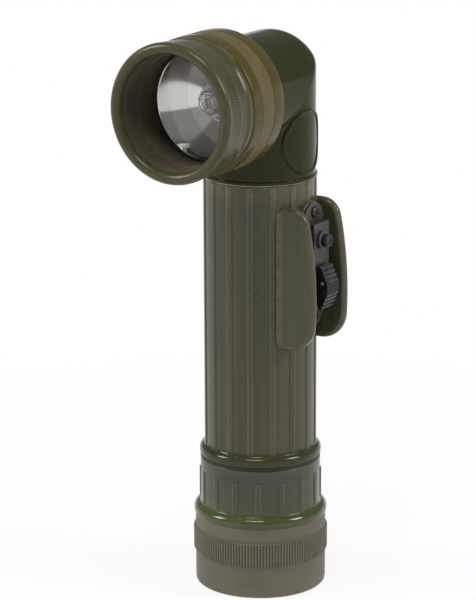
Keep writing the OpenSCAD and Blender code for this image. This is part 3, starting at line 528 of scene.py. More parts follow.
def moulded(name, colour, rough=0.3, spread=0.12, edge=1.7, dust=0.3, gloss=0.3, scuffs=0.14,
            scratched=2.2, streaks=None, foot=None):
    """Moulded plastic with soft mottling, painted reflection streaks, worn ridges with painted
    highlight, painted shade in grooves, dust and fine scratches.

    Edge and scratched say how much lighter ridges and scratches are than the colour; the lighter
    ridges are partly wear and partly a painted highlight. A foot is a polished zone: the heights in
    metres that it fades in between, its colour, and the share of the roughness that is left there.
    """
    f = Finish(name)
    cloud = f.remap(f.noise(60, 4), 0.35, 0.65)
    mottled = f.mix(cloud, tint(colour, 0.86), tint(colour, 1.14))
    # Painted reflection streaks: lighter and darker bands drawn out up the height, standing in for
    # streaky reflections.
    if streaks:
        reflection_streaks = f.remap(f.noise(170, 3, 0.6, 0, (1, 1, 0.02)), 0.36, 0.64)
        mottled = f.mix(reflection_streaks, tint(colour, 1 - streaks), tint(colour, 1 + streaks))
    fine = f.mix(f.remap(f.noise(900, 2), 0.3, 0.7), tint(colour, 0.94), tint(colour, 1.07))
    base = f.mix(f.remap(f.noise(25, 2), 0.3, 0.7, 0.25, 0.75), mottled, fine)
    # Ridges made lighter in patches: partly worn edges, partly a painted highlight.
    ridge = f.remap(f.ridges_and_grooves(), 0.15, 0.8, 0, 0.6)
    patchy = f.math("MULTIPLY", ridge, f.remap(f.noise(320, 4, 0.7), 0.32, 0.62, 0.2, 1))
    base = f.mix(patchy, base, tint(colour, edge))
    # Painted shade: grooves and creases are darkened, as if shadowed.
    groove = f.remap(f.ridges_and_grooves(), -0.12, -0.8, 0, 0.6)
    base = f.mix(groove, base, tint(colour, 0.4))
    lint = f.math("MULTIPLY", f.specks(420, 0.16), f.remap(f.noise(90, 2), 0.45, 0.7, 0, dust))
    scratch = f.remap(f.noise(260, 2, 0.6, 0.6, (1, 1, 0.04)), 0.67, 0.73, 0, scuffs)
    away = f.math("ABSOLUTE", f.math("SUBTRACT", f.noise(38, 0, 0.4, 0.3, (1, 0.5, 1)), 0.5))
    patches = f.remap(f.noise(130, 2), 0.56, 0.66, 0, scuffs)
    scratch = f.math("MAXIMUM", scratch, f.math("MULTIPLY", f.remap(away, 0.004, 0), patches))
    base = f.mix(lint, base, DUST)
    base = f.mix(scratch, base, tint(colour, scratched))
    shine = f.remap(f.noise(45, 4, 0.6), 0.3, 0.7, rough - spread / 2, rough + spread / 2)
    shine = f.math("ADD", shine, f.math("MULTIPLY", lint, 0.4))
    if foot:
        start, end, polish, left = foot
        apart = f.node("ShaderNodeSeparateXYZ")
        f.feed(apart.inputs[0], f.coords)
        low = f.remap(apart.outputs["Z"], start, end)
        base = f.mix(low, base, f.mix(cloud, tint(polish, 0.86), tint(polish, 1.14)))
        shine = f.math("MULTIPLY", shine, f.remap(low, 0, 1, 1, left))
    f.set(Base_Color=base, Roughness=shine, IOR=1.5, Specular_IOR_Level=gloss)
    f.bump((f.noise(55, 2), 0.05), (f.noise(1400, 2), 0.01), (scratch, -0.02))
    return f.mat


def rubber(name, colour=(0.012, 0.012, 0.012)):
    """Dull black rubber with a faint bloom."""
    f = Finish(name)
    bloom = f.remap(f.noise(240, 4, 0.7), 0.45, 0.75, 0, 0.5)
    base = f.mix(bloom, colour, tint(colour, 3))
    f.set(Base_Color=base, Roughness=f.remap(f.noise(500, 3), 0.3, 0.7, 0.5, 0.75), IOR=1.48)
    f.bump((f.noise(1500, 3), 0.02))
    return f.mat


def metal(name, colour, rough, spread=0.12, stain=0.7, brush=(1, 1, 1), scale=400, metallic=1.0,
          edge=1.35):
    """Plated or rolled metal with brushing, stains and worn edges."""
    f = Finish(name)
    streak = f.noise(scale, 3, 0.6, 0, brush)
    base = f.mix(f.remap(streak, 0.3, 0.7), tint(colour, 0.9), tint(colour, 1.06))
    stained = f.remap(f.noise(150, 4, 0.7), 0.5, 0.75, 0, 0.6)
    base = f.mix(stained, base, tint(colour, stain))
    patches = f.remap(f.noise(700, 3, 0.7), 0.35, 0.6, 0.2, 1)
    chipped = f.math("MULTIPLY", f.remap(f.ridges_and_grooves(), 0.15, 0.8, 0, 0.8), patches)
    base = f.mix(chipped, base, tint(colour, edge))
    shine = f.remap(streak, 0.3, 0.7, rough, rough + spread)
    f.set(Base_Color=base, Metallic=metallic, Roughness=shine)
    f.bump((streak, 0.01))
    return f.mat


def dish_finish(name, colour):
    """A dulled bright coating, lighter and darker in uneven wedges outwards from the bulb as painted
    reflection bands, with darker blotches.
    """
    f = Finish(name)
    turn = f.node("ShaderNodeTexGradient")
    turn.gradient_type = "RADIAL"
    f.feed(turn.inputs[0], f.mapping(turn=(pi / 2, 0, 0), shift=(0, -HEAD_Z * MM, 0)))
    # Painted reflection: wedges round the axis made lighter and darker, standing in for reflected
    # bands; the same pattern sets the roughness.
    reflection_wedges = f.node("ShaderNodeTexNoise")
    reflection_wedges.noise_dimensions = "1D"
    f.fed(reflection_wedges, Scale=9, Detail=3, Roughness=0.6, W=turn.outputs["Fac"])
    fac = reflection_wedges.outputs["Fac"]
    base = f.mix(f.remap(fac, 0.35, 0.62), tint(colour, 0.84), tint(colour, 1.08))
    base = f.mix(f.remap(f.noise(160, 3, 0.6), 0.5, 0.8, 0, 0.3), base, tint(colour, 0.75))
    round_axis = f.node("ShaderNodeTangent")
    round_axis.direction_type = "RADIAL"
    round_axis.axis = "Y"
    f.set(Base_Color=base, Metallic=1.0, Roughness=f.remap(fac, 0.3, 0.7, 0.1, 0.18))
    f.set(Anisotropic=0.5, Anisotropic_Rotation=0.25, Tangent=round_axis.outputs[0])
    f.bump((f.noise(120, 2), 0.03))
    return f.mat


def clear(name, colour, rough=0.0, ior=1.5, ripple=0.004):
    """Clear or tinted plastic or glass, with faint ripples and specks."""
    f = Finish(name)
    base = f.mix(f.specks(500, 0.1), colour, tint(colour, 0.6))
    f.set(Base_Color=base, Transmission_Weight=1.0, IOR=ior, Roughness=rough)
    f.bump((f.noise(60, 2), ripple))
    return f.mat


def board(name, colour):
    """Pressed or moulded insulating board with fibres."""
    f = Finish(name)
    fibres = f.noise(500, 5, 0.7, 0.4, (1, 0.3, 1))
    base = f.mix(f.remap(fibres, 0.3, 0.7), tint(colour, 0.7), tint(colour, 1.3))
    f.set(Base_Color=base, Roughness=f.remap(fibres, 0.3, 0.7, 0.6, 0.8))
    f.bump((fibres, 0.03))
    return f.mat


# Waves in the radius of turned pieces, by angle in degrees, radius and height


def smooth(t):
    """An even step from 0 to 1."""
    t = max(0.0, min(1.0, t))
    return t * t * (3 - 2 * t)


def rib_wave(radius, low, top, fade, round_top):
    """Upright ribs of even height between two levels, faded in at the foot."""
    height, half = sizes().rib_height / MM, sizes().rib_width / MM / 2
    edge = 0.8

    def wave(angle, r, z):
        if r < radius - 0.05 or z < low - 1e-3 or z > top + 1e-3:
            return 0
        away = abs((angle + RIB_PITCH / 2) % RIB_PITCH - RIB_PITCH / 2) * pi / 180 * radius
        reach = half
        if round_top and z > top - half:
            reach = sqrt(max(0, half * half - (z - top + half) ** 2))
        side = smooth((reach + edge / 2 - away) / edge) if reach > 0 else 0
        return height * side * smooth((z - low) / fade)

    return wave


def knurl_wave(band, depth, left=None):
    """Upright grooves along a band, of the share of their depth that is left."""
    radius, low, top = band
    teeth = sizes().knurl_teeth

    def wave(angle, r, z):
        if r < radius - 0.3 or z < low - 1e-3 or z > top + 1e-3:
            return 0
        share = left(angle) if left else 1
        step = round(angle / 360 * teeth * TOOTH_STEPS) % TOOTH_STEPS
        return -depth / MM * share if step in (2, 3) else 0

    return wave


def worn_share(angle):
    """How much of the head's fine knurl is left at an angle, least at the top."""
    turn = radians(angle)
    return 0.1 + 0.5 * max(0, cos(turn)) ** 3 + 0.05 * sin(5 * turn) + 0.03 * sin(11 * turn)


def knurled(wall, band, depth, left=None, corner=0.12):
    """A turned wall with the grooves of its knurled band."""
    steps = TOOTH_STEPS * sizes().knurl_teeth
    return turned(wall, steps, knurl_wave(band, depth, left), corner)


# Pieces


def wing_shell(side):
    """One guard wing, with rounded edges and a soft root, on either side of the switch."""
    near, away, root_x, out = 8.6, 12.0, 15.2, 29.2
    face_r, low_r, top_r = 136.0, 10.2, 7.2
    centre = (out - face_r, WING_LOW + 17.3)
    reach_low, reach_top = face_r - low_r, face_r - top_r
    turn_low = degrees(asin((centre[1] - WING_LOW - low_r) / reach_low))
    turn_top = degrees(asin((WING_TOP - top_r - centre[1]) / reach_top))
    low_centre = arc(centre, reach_low, -turn_low, 0)[0]
    top_centre = arc(centre, reach_top, turn_top, 0)[0]
    outline = [(root_x, WING_LOW)] + arc(low_centre, low_r, -90, -turn_low, 12)
    outline += arc(centre, face_r, -turn_low, turn_top, 16)
    outline += arc(top_centre, top_r, turn_top, 90, 12) + [(root_x, WING_TOP)]
    wing = slab(outline, near, away)
    weld(wing, COARSE_WELD)
    sharp = sharp_edges(wing, 1.2)
    rim = [e for e in sharp if all(v.co.x > 15.5 for v in e.verts)]
    rim += [e for e in sharp if e not in rim and max(v.co.x for v in e.verts) > 16
            and abs(e.verts[0].co.z - e.verts[1].co.z) < 1e-6]
    rounded(wing, rim, sizes().wing_round / MM, 7)
    moved(wing, Matrix.Rotation(pi / 2, 4, "X") @ Matrix.Scale(-1, 4, (0, 0, 1)))
    fillet_r = 3.0
    y = away + fillet_r
    x = sqrt((BARREL_R + fillet_r) ** 2 - y ** 2)
    end = degrees(atan2(-y, -x)) % 360
    fillet = slab(arc((x, y), fillet_r, 270, end) + [(13.4, 12.2), (14.2, 11.4), (x, 11.4)],
                  WING_LOW + 1.8, WING_TOP - 1.6)
    return moved(joined(wing, fillet), Matrix.Scale(side, 4, (0, 1, 0)))


def barrel_shell():
    """The barrel with its bead, ribs, guard wings and seats."""
    foot_z, rib_z, neck_z = 36.5, 53, SEAM_Z - 5
    wall = [(19.3, foot_z), (19.3, 47.7), (21.42, 47.7, 0.45), (21.5, 48.5, 0.2)]
    wall += arc((BARREL_R, 49.3), 2.0, 0, 66, 9) + [(20.12, 51.22, 0), (19.92, 51.4, 0)]
    wall += [(19.72, 51.7, 0), (19.58, 52.1, 0), (19.52, 52.5, 0)]
    wall += [(BARREL_R, rib_z + (SEAM_Z - 0.3 - rib_z) * i / 10, 0) for i in range(11)]
    wall += [(19.42, SEAM_Z - 0.06, 0), (18.5, SEAM_Z, 0.05), (18.5, neck_z), (BORE_R, neck_z)]
    wall += [(BORE_R, foot_z)]
    tube = turned(wall, RIB_STEPS, rib_wave(BARREL_R, 51.1, SEAM_Z - 0.2, 1.3, False))
    seat = moved(slab(stadium(12.2, COVER_L), 16.5, SEAT_X, 0.35), at(z=COVER_Z) @ SIDE)
    window = block((17.0, SEAT_X + 1), (-3.4, 3.4), (COVER_Z - 13.5, COVER_Z + 13.5))
    clip_seat = block((-6.5, 6.5), (16.5, 20.2), (SEAM_Z - 25.7, SEAM_Z - 6.7), 0.3)
    bore = slab(stadium(2 * BORE_R, 0, 48), 36, SEAM_Z)
    seats = carved(joined(seat, clip_seat), window, bore)
    return joined(tube, wing_shell(1), wing_shell(-1), seats)


def bend_depth(p):
    """How far points lie outside the elbow's smooth surface, with its blends."""
    crotch_r, ridge_r, corner = 4.5, 2.0, 1.4
    x, y, h = p[:, 0], p[:, 1], p[:, 2] - HEAD_Z
    rv, rh = np.hypot(x, y), np.hypot(x, h)
    upright, level = rv - ELBOW_R, rh - ELBOW_R
    turn = 1 - x * x / np.maximum(rv * rh, 1e-6)
    inner = np.maximum(crotch_r * turn, 1e-3)
    outer = np.maximum(ridge_r * turn, 1e-3)
    gap = np.abs(upright - level)
    crotch = np.minimum(upright, level) - np.maximum(0, inner - gap) ** 2 / (4 * inner)
    ridge = np.maximum(upright, level) + np.maximum(0, outer - gap) ** 2 / (4 * outer)
    ball = np.sqrt(x * x + y * y + h * h) - CORNER_R
    blend = np.maximum(0, corner - np.abs(ridge - ball)) ** 2 / (4 * corner)
    ridge = np.maximum(ridge, ball) + blend
    legs = np.where(y > 0, upright, level)
    return np.where((y > 0) & (h > 0), ridge, np.where((y <= 0) & (h <= 0), crotch, legs))


def pad_shell(side):
    """A round pad with a thin raised rim, wrapped onto the elbow's side."""
    face, root = 0.3, -1.2
    profile = [(float(r), face, 0) for r in np.linspace(0, 10, 14)]
    profile += [(10.2, 0.34, 0), (10.26, 0.6, 0), (10.42, 0.72, 0), (10.6, 0.75, 0)]
    profile += [(10.82, 0.75, 0), (11.0, 0.72, 0), (11.14, 0.6, 0), (PAD_R, face, 0)]
    profile += [(PAD_R, root, 0)]
    profile += [(float(r), root, 0) for r in np.linspace(10, 0, 8)]
    bm = turned(profile, 160)
    for v in bm.verts:
        y, up, out = v.co
        v.co = (side * sqrt((ELBOW_R + out) ** 2 - y * y), y, PAD_Z + up)
    return bm


def elbow_shell():
    """The elbow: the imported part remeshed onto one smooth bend, with a turned lip and two pads."""
    bm = bmesh.new()
    bm.from_mesh(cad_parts["head_elbow"].data)
    bm.transform(Matrix.Scale(1 / MM, 4))
    weld(bm, COARSE_WELD)
    body = from_bmesh(bm, "bend")
    remesh = body.modifiers.new("even faces", "REMESH")
    remesh.mode = "VOXEL"
    remesh.voxel_size = 0.5
    bm = finished(body)
    p = np.array([v.co for v in bm.verts])
    depth = bend_depth(p)
    within, without, neck_y, lip_top = -1.3, 1.4, -22.2, SEAM_Z + 1.6
    skin = (depth > within) & (depth < without) & (p[:, 1] > neck_y) & (p[:, 2] > lip_top)
    q, step = p[skin], 0.02
    for _ in range(6):
        here = bend_depth(q)
        slope = np.stack([(bend_depth(q + s) - here) / step for s in step * np.eye(3)], 1)
        q = q - slope * (here / np.maximum((slope ** 2).sum(1), 0.2))[:, None]
    p[skin] = q
    for v, co in zip(bm.verts, p):
        v.co = co
    cut_z = SEAM_Z + 2.3
    bmesh.ops.bisect_plane(
        bm, geom=bm.verts[:] + bm.edges[:] + bm.faces[:], dist=FINE_WELD,
        plane_co=(0, 0, cut_z), plane_no=(0, 0, 1), clear_inner=True)
    bmesh.ops.bridge_loops(bm, edges=[e for e in bm.edges if e.is_boundary])
    neck_r, lip_r, lip_z = 18.3, 19.95, SEAM_Z + 0.04
    foot = turned([
        (BORE_R, SEAM_Z - 5), (neck_r, SEAM_Z - 5), (neck_r, lip_z), (lip_r, lip_z, 0.4),
        (lip_r, SEAM_Z + 1.4, 0.3), (19.42, SEAM_Z + 1.55, 0.15), (ELBOW_R, cut_z, 0),
        (BORE_R, cut_z, 0)], 288)
    return joined(bm, foot, pad_shell(1), pad_shell(-1))


def cap_shell():
    """The battery cap with its flared foot and short ribs."""
    low, shelf, skirt_r, sleeve_r = 17, 26, 19.62, 21.32
    wall = [(0, shelf), (skirt_r, shelf), (skirt_r, low), (sleeve_r, low), (sleeve_r, shelf)]
    wall += [(23.5, shelf, 0.3)] + arc((CAP_R, 27.2), 2.4, 0, 72, 10)
    wall += [(21.72, 29.55, 0), (21.5, 29.68, 0), (21.34, 29.95, 0), (21.24, 30.4, 0)]
    wall += [(CAP_R, 31 + i, 0) for i in range(9)] + [(CAP_R, 39.7 + 0.2 * i, 0) for i in range(13)]
    wall += [(CAP_R, 46.5, 0.45), (19.38, 46.5), (19.38, 28), (0, 28)]
    bm = turned(wall, RIB_STEPS, rib_wave(CAP_R, 29.4, 41.9, 1.8, True))
    return moved(bm, Matrix.Rotation(radians(8), 4, "Z"))


def base_shell():
    """The base cap with its knurled band."""
    band_r, low, top = BASE_BAND
    wall_r, bore_r, floor_z = 23.1, 21.4, 2
    wall = [(0, 0), (wall_r, 0, 1.3), (wall_r, 12.25, 0.12), (band_r, low, 0.1)]
    wall += [(band_r, top, 0.1), (wall_r, 20.35, 0.12), (wall_r, 25.95, 0.2), (22.17, 25.95)]
    wall += [(22.17, 24.9), (bore_r, 24.9), (bore_r, floor_z), (0, floor_z)]
    return knurled(wall, BASE_BAND, sizes().knurl_depth, None, 0.15)


def ring_shell():
    """The lens ring, which holds the reflector and lens to the elbow."""
    band_r, low, top = RING_BAND
    wall = [(20.48, 21.2), (23.1, 21.2, 0.3), (23.85, 22.0, 0.6), (23.9, 27.6, 0.1)]
    wall += [(23.78, 27.75, 0.05), (band_r, low, 0.05), (band_r, top, 0.05), (23.74, 34.95, 0.05)]
    wall += [(23.82, 35.1, 0.1), (23.7, 39.3, 0.5), (23.1, 40, 0.3), (21.3, 40), (21.3, 46, 0.2)]
    wall += [(19.2, 46, 0.2), (19.2, 37.05), (20.48, 37.05)]
    return knurled(wall, RING_BAND, sizes().fine_knurl_depth, worn_share)


def hood_shell():
    """The hood ring with its knurled band and rounded lip."""
    band_r, low, top = HOOD_BAND
    wall = [(21.38, 40.5), (23.5, 40.5, 0.35), (23.6, 42.1, 0.4), (23.15, 43.1, 0.5)]
    wall += [(23.15, 46.85, 0.3), (23.5, 47.75, 0.2), (band_r, low, 0.05), (band_r, top, 0.05)]
    wall += arc((21.8, 54.1), 2.0, -12, 186, 26)
    wall += [(19.7, 53.1, 0.2), (19.5, 51.9, 0.3), (19.5, 46.2), (21.38, 46.2)]
    return knurled(wall, HOOD_BAND, sizes().fine_knurl_depth, worn_share)


def dish_shell():
    """The reflector: a dish with a rim, a hole for the bulb and a collar behind."""
    edge, rim, cone, curve, sheet = 18.6, 34.2, 0.42, 118.2, 0.6
    hole_r, collar_r, collar_z = 5.6, 6.85, 20.0

    def level(r):
        return rim - cone * (edge - r) - (edge * edge - r * r) / curve

    wall = [(float(r), level(r), 0) for r in np.linspace(hole_r, edge, 40)]
    wall += [(20.2, rim, 0.1), (20.2, 33.6), (18.5, 33.6, 0)]
    for r in np.linspace(17.9, 7.0, 24):
        slope = cone + 2 * r / curve
        drop = sheet / sqrt(1 + slope * slope)
        wall.append((float(r + drop * slope), level(r) - drop, 0))
    wall += [(7.6, collar_z), (collar_r, collar_z), (collar_r, 23.6), (hole_r, 23.6)]
    return turned(wall, 256, None, 0.05)


def lens_seal_shell():
    """The black seal folded round the lens's edge, with two soft beads in front."""
    return turned([
        (18.65, 34.2), (20.2, 34.2, 0.15), (20.2, 37.0, 0.15), (19.15, 37.0, 0.1),
        (18.95, 36.7, 0.1), (18.72, 37.0, 0.1), (18.2, 36.9, 0.25), (18.2, 36.02, 0.1),
        (19.6, 36.02, 0.05), (19.6, 34.58, 0.05), (18.65, 34.58, 0.1)], 192)


def glass_shell(base):
    """A bulb's glass envelope with a thick lens at its tip."""
    top = base + 9.4
    outer = [(0, base), (5.0, base, 0.3), (5.2, base + 1.2, 0.3), (5.2, top - 3.6, 1.2)]
    outer += arc((0.9, top - 4.0), 4.0, 25, 50, 5)
    outer += [(3.1, top - 1.0, 0.1), (2.9, top - 0.55, 0.15), (2.45, top - 0.5, 0.15)]
    outer += [(2.2, top - 0.9, 0.1), (1.5, top - 0.8, 0.1), (1.3, top - 0.3, 0.15)]
    outer += [(0.8, top, 0.3), (0, top, 0), (0, top - 2.6, 0)]
    inner = arc((0.6, top - 5.6), 3.6, 84, 10)
    inner += [(4.7, base + 1.4, 0.4), (4.5, base + 0.5, 0.3), (0, base + 0.5)]
    return turned(outer + inner, 96, None, 0.1)


def slide_shell():
    """The switch slide: two ribbed slopes to a flat crest, with its stem and keeper."""
    x0, foot, crest, length, ribs = COVER_X + 0.15, COVER_X + 0.95, COVER_X + 3.9, 15.3, 4
    low = [(x0, 0), (foot, 0)]
    for i in range(ribs):
        for share, out in ((0.06, 0), (0.3, 0.42), (0.62, 0.42), (0.9, 0)):
            t = (i + share) / ribs
            low.append((foot + (crest - 0.25 - foot) * t + out, 6.0 * t))
    top = [(x, length - y) for x, y in reversed(low)]
    bm = slab(low + [(crest, 6.2), (crest, 9.1)] + top, -3.7, 3.7)
    rounded(bm, sharp_edges(bm, 0.35), 0.13, 2)
    stem = block((24.1, foot), (-2, 2), (1.2, 6.2), 0.1)
    keeper = block((24.1, 24.9), (-4, 4), (0.6, 8.0), 0.1)
    return moved(joined(moved(bm, ON_EDGE), stem, keeper), at(z=SLIDE_Z))


def cover_shell():
    """The sheet-metal switch cover with its two screw tabs."""
    half, button_y = COVER_L / 2, BUTTON_Z - COVER_Z
    hat = slab([(-5.7, -half), (5.7, -half), (5.7, half), (-5.7, half)], 0.02, COVER_X - TAB_X)
    rim = [e for e in sharp_edges(hat, 0.6) if max(v.co.z for v in e.verts) > 1]
    rounded(hat, rim, 0.45, 4)
    tabs = slab(stadium(11.4, COVER_L, 16), 0, 0.8, 0.12, 2)
    collar = [(0, 4.1), (3.1, 4.1), (3.05, 4.9, 0.2), (2.75, 4.9, 0.1), (2.6, 4.7), (0, 4.7)]
    collar = moved(turned(collar, 64), at(y=button_y))
    room = block((-4.9, 4.9), (-half + 0.8, half - 0.8), (-1, 3.6))
    slot_low = SLIDE_Z + 1.2 - 0.3 - COVER_Z
    slot = block((-2.3, 2.3), (slot_low, slot_low + 11.2), (-1, 6))
    hole = moved(slab(stadium(4.56, 0, 24), -1, 6), at(y=button_y))
    screws = [moved(slab(stadium(2.5, 0, 16), -1, 2), at(y=s * SCREW_OUT)) for s in (-1, 1)]
    shell = carved(carved(joined(hat, tabs, collar), room), slot, hole, *screws)
    return moved(shell, at(TAB_X, 0, COVER_Z) @ SIDE)


def screw_shell():
    """The two screws, with domed heads and cross slots."""
    wall = [(0, -3.8), (1.2, -3.8), (1.2, 0), (2.0, 0), (2.0, 0.55, 0.3), (1.3, 0.98, 0.5)]
    wall.append((0, 1.1))
    made = []
    for z, turn in ((COVER_Z - SCREW_OUT, 20), (COVER_Z + SCREW_OUT, 50)):
        slots = [block((-1.2, 1.2), (-0.25, 0.25), (0.5, 2)) for _ in (0, 1)]
        moved(slots[1], Matrix.Rotation(pi / 2, 4, "Z"))
        head = moved(carved(turned(wall, 48), *slots), Matrix.Rotation(radians(turn), 4, "Z"))
        made.append(moved(head, at(TAB_X + 0.8, 0, z) @ SIDE))
    return joined(*made)


def button_shell():
    """The flash button with its flange and shank."""
    wall = [(0, 23.05), (1.0, 23.05), (1.0, 24.25), (2.9, 24.25), (2.9, 25.05), (2.2, 25.05)]
    wall += [(2.2, 28.45, 0.35), (1.5, 28.42, 0.3), (0, 28.3)]
    return moved(turned(wall, 64, None, 0.08), at(z=BUTTON_Z) @ SIDE)


def clip_shell():
    """The belt clip: riveted root, bowed arm and flared tip in one strip."""
    line = [(20.2, 0), (20.2, 17.8), (20.6, 19.6), (22.9, 24.8), (23.35, 27.3)]
    line += [(23.15, 33), (21.1, 66), (20.65, 70), (20.9, 72.5), (23.5, 78.3)]
    outline = [(y, CLIP_TOP - down) for y, down in line]
    outline += [(y + 1.0, z) for y, z in reversed(outline)]
    return moved(slab(outline, -6, 6, 0.18, 2), SIDE)


def rivet_shell():
    """The two domed rivets of the belt clip."""
    wall = [(0, -3.4), (1.2, -3.4), (1.2, 0), (2.2, 0, 0.05)] + arc((0, -2.25), 3.15, 46, 90)[1:]
    made = []
    for z in (SEAM_Z - 11.7, SEAM_Z - 20.7):
        place = at(0, 21.2, z) @ Matrix.Rotation(-pi / 2, 4, "X")
        made.append(moved(turned(wall, 48, None, 0.03), place))
    return joined(*made)


class BuildBarrel(bpy.types.Operator):
    """Build the barrel and its black gasket"""

    bl_idname = "flashlight.barrel"
    bl_label = "Barrel"

    def execute(self, context):
        bead = (0.0530, 0.0516, colours().bead, 0.5)
        # The barrel's streaks are painted reflection streaks, and its lighter ridges are partly a
        # painted highlight.
        plastic = moulded(
            "olive barrel plastic", colours().barrel, 0.19, edge=2.8, dust=0.6, streaks=0.3,
            foot=bead)
        placed(barrel_shell(), "barrel_body", UP, plastic, "body", ["barrel"],
               flats=True)
        seal = washer(21.3, 19.35, 46.55, 47.65)
        black = rubber("black rubber")
        placed(seal, "cap_seal", UP, black, "body", ["cap_gasket"])
        return {"FINISHED"}


class BuildElbow(bpy.types.Operator):
    """Build the elbow"""

    bl_idname = "flashlight.elbow"
    bl_label = "Elbow"

    def execute(self, context):
        plastic = moulded(
            "olive elbow plastic", colours().elbow, 0.15, 0.06, dust=0.5, gloss=0.12, scuffs=0.3,
            scratched=3)
        # Painted highlight: the lip's lower edge gets a light colour that stands in for the bright
        # floor's reflection there.
        lip = moulded("painted lip highlight", (0.19, 0.18, 0.14), 0.3)
        placed(elbow_shell(), "elbow_bend", UP, plastic, "body", ["head_elbow"], 50,
               others=[(lip, lambda r, z: r > 19.3 and SEAM_Z < z < SEAM_Z + 0.36)])
        return {"FINISHED"}


class BuildCaps(bpy.types.Operator):
    """Build the battery cap and the base cap"""

    bl_idname = "flashlight.caps"
    bl_label = "Battery and base caps"

    def execute(self, context):
        foot = (0.0350, 0.0298, colours().cap_foot, 0.45)
        olive = moulded("olive cap plastic", colours().cap, 0.24, edge=2.4, gloss=0.4, foot=foot)
        placed(cap_shell(), "battery_cap_body", UP, olive, "cap", ["battery_cap"])
        brown = moulded("brown base plastic", colours().base, 0.5, edge=1.8, gloss=0.2)
        placed(base_shell(), "base_cap_body", UP, brown, "base", ["base_cap"])
        paint(rubber("black rubber"), "base_gasket")
        return {"FINISHED"}


class BuildHead(bpy.types.Operator):
    """Build the lens ring, the hood ring and their seals"""

    bl_idname = "flashlight.head"
    bl_label = "Lens ring and hood"

    def execute(self, context):
        ochre = moulded("ochre ring plastic", colours().ring, 0.2, gloss=0.2)
        worn = moulded("worn ochre band", (0.116, 0.092, 0.042), 0.42, edge=1.8, gloss=0.2)
        dull = moulded("dull hood wall", colours().hood_inside, 0.55, gloss=0.15)
        placed(ring_shell(), "lens_ring_body", HEAD, ochre, "ring", ["lens_ring"],
               others=[(worn, lambda r, z: 27.85 < z < 34.85 and r > 22),
                       (dull, lambda r, z: r < 20 and z > 37.1)])
        olive = moulded("olive hood plastic", colours().hood, 0.22, streaks=0.1, gloss=0.25)
        placed(hood_shell(), "hood_ring_body", HEAD, olive, "hood", ["hood_ring"],
               others=[(dull, lambda r, z: r < 19.75)])
        black = rubber("black rubber")
        seal = washer(22.9, 21.5, 40.03, 40.42, 0.1)
        placed(seal, "hood_seal", HEAD, black, "hood_carrier", ["hood_gasket"])
        placed(lens_seal_shell(), "lens_seal", HEAD, black, "lamp", ["lens_gasket"])
        return {"FINISHED"}


class BuildLamp(bpy.types.Operator):
    """Build the reflector, the lens and the bulb"""

    bl_idname = "flashlight.lamp"
    bl_label = "Reflector, lens and bulb"

    def execute(self, context):
        mirror = dish_finish("bright dish", (0.69, 0.665, 0.635))
        placed(dish_shell(), "reflector_dish", HEAD, mirror, "lamp", ["reflector"],
               60)
        pane = turned([(0, 34.62), (19.55, 34.62), (19.55, 35.98), (0, 35.98)], 128)
        plain = clear("clear lens", (0.98, 0.99, 0.98))
        placed(pane, "lens_pane", HEAD, plain, "lamp", ["lens"])
        glass = clear("bulb glass", (0.98, 0.99, 0.99), ripple=0.01)
        placed(glass_shell(23.62), "bulb_envelope", HEAD, glass, "lamp", ["bulb_glass"])
        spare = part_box("spare_bulb_glass")[0].z / MM
        placed(glass_shell(spare + 0.02), "spare_bulb_envelope", UP, glass, "base_carrier",
               ["spare_bulb_glass"])
        paint(metal("nickel plate", (0.68, 0.66, 0.6), 0.18), "bulb_base", "spare_bulb_base")
        wire = metal("filament wire", (0.35, 0.34, 0.33), 0.3)
        paint(wire, "bulb_filament", "spare_bulb_filament")
        return {"FINISHED"}


class BuildSwitch(bpy.types.Operator):
    """Build the switch cover, its screws, the slide and the flash button"""

    bl_idname = "flashlight.switch"
    bl_label = "Switch"

    def execute(self, context):
        oxide = metal(
            "black oxide sheet", (0.055, 0.052, 0.052), 0.34, 0.2, 1.9, scale=300, metallic=0.5,
            edge=5)
        placed(cover_shell(), "switch_cover_sheet", UP, oxide, "body", ["switch_cover"],
               flats=True)
        dark = metal("dark screw plate", (0.055, 0.048, 0.042), 0.3, 0.2, 0.6, edge=2.5)
        placed(screw_shell(), "cover_screws", UP, dark, "body", ["switch_screws"],
               flats=True)
        black = moulded(
            "black slide plastic", (0.012, 0.012, 0.013), 0.24, edge=10, dust=0.6, gloss=0.12)
        placed(slide_shell(), "switch_thumb", UP, black, "slide", ["switch_slide"],
               flats=True)
        placed(button_shell(), "flash_button_cap", UP, black, "button", ["flash_button"])
        paint(metal("copper pin", (0.90, 0.50, 0.22), 0.3, metallic=0.5), "slide_pin")
        paint(rubber("black rubber"), "switch_gasket")
        return {"FINISHED"}


class BuildClip(bpy.types.Operator):
    """Build the belt clip and its rivets"""

    bl_idname = "flashlight.clip"
    bl_label = "Belt clip"

    def execute(self, context):
        steel = metal("olive painted steel", (0.045, 0.047, 0.026), 0.4, 0.15, 0.8, metallic=0.1)
        obj = placed(clip_shell(), "belt_clip_strip", UP, steel, "body",
                     ["belt_clip_root", "belt_clip_arm"])
        obj.parent = None
        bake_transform(obj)
        plate = metal("rivet metal", (0.42, 0.40, 0.34), 0.3)
        placed(rivet_shell(), "clip_rivet_heads", UP, plate, "body", ["clip_rivets"])
        return {"FINISHED"}


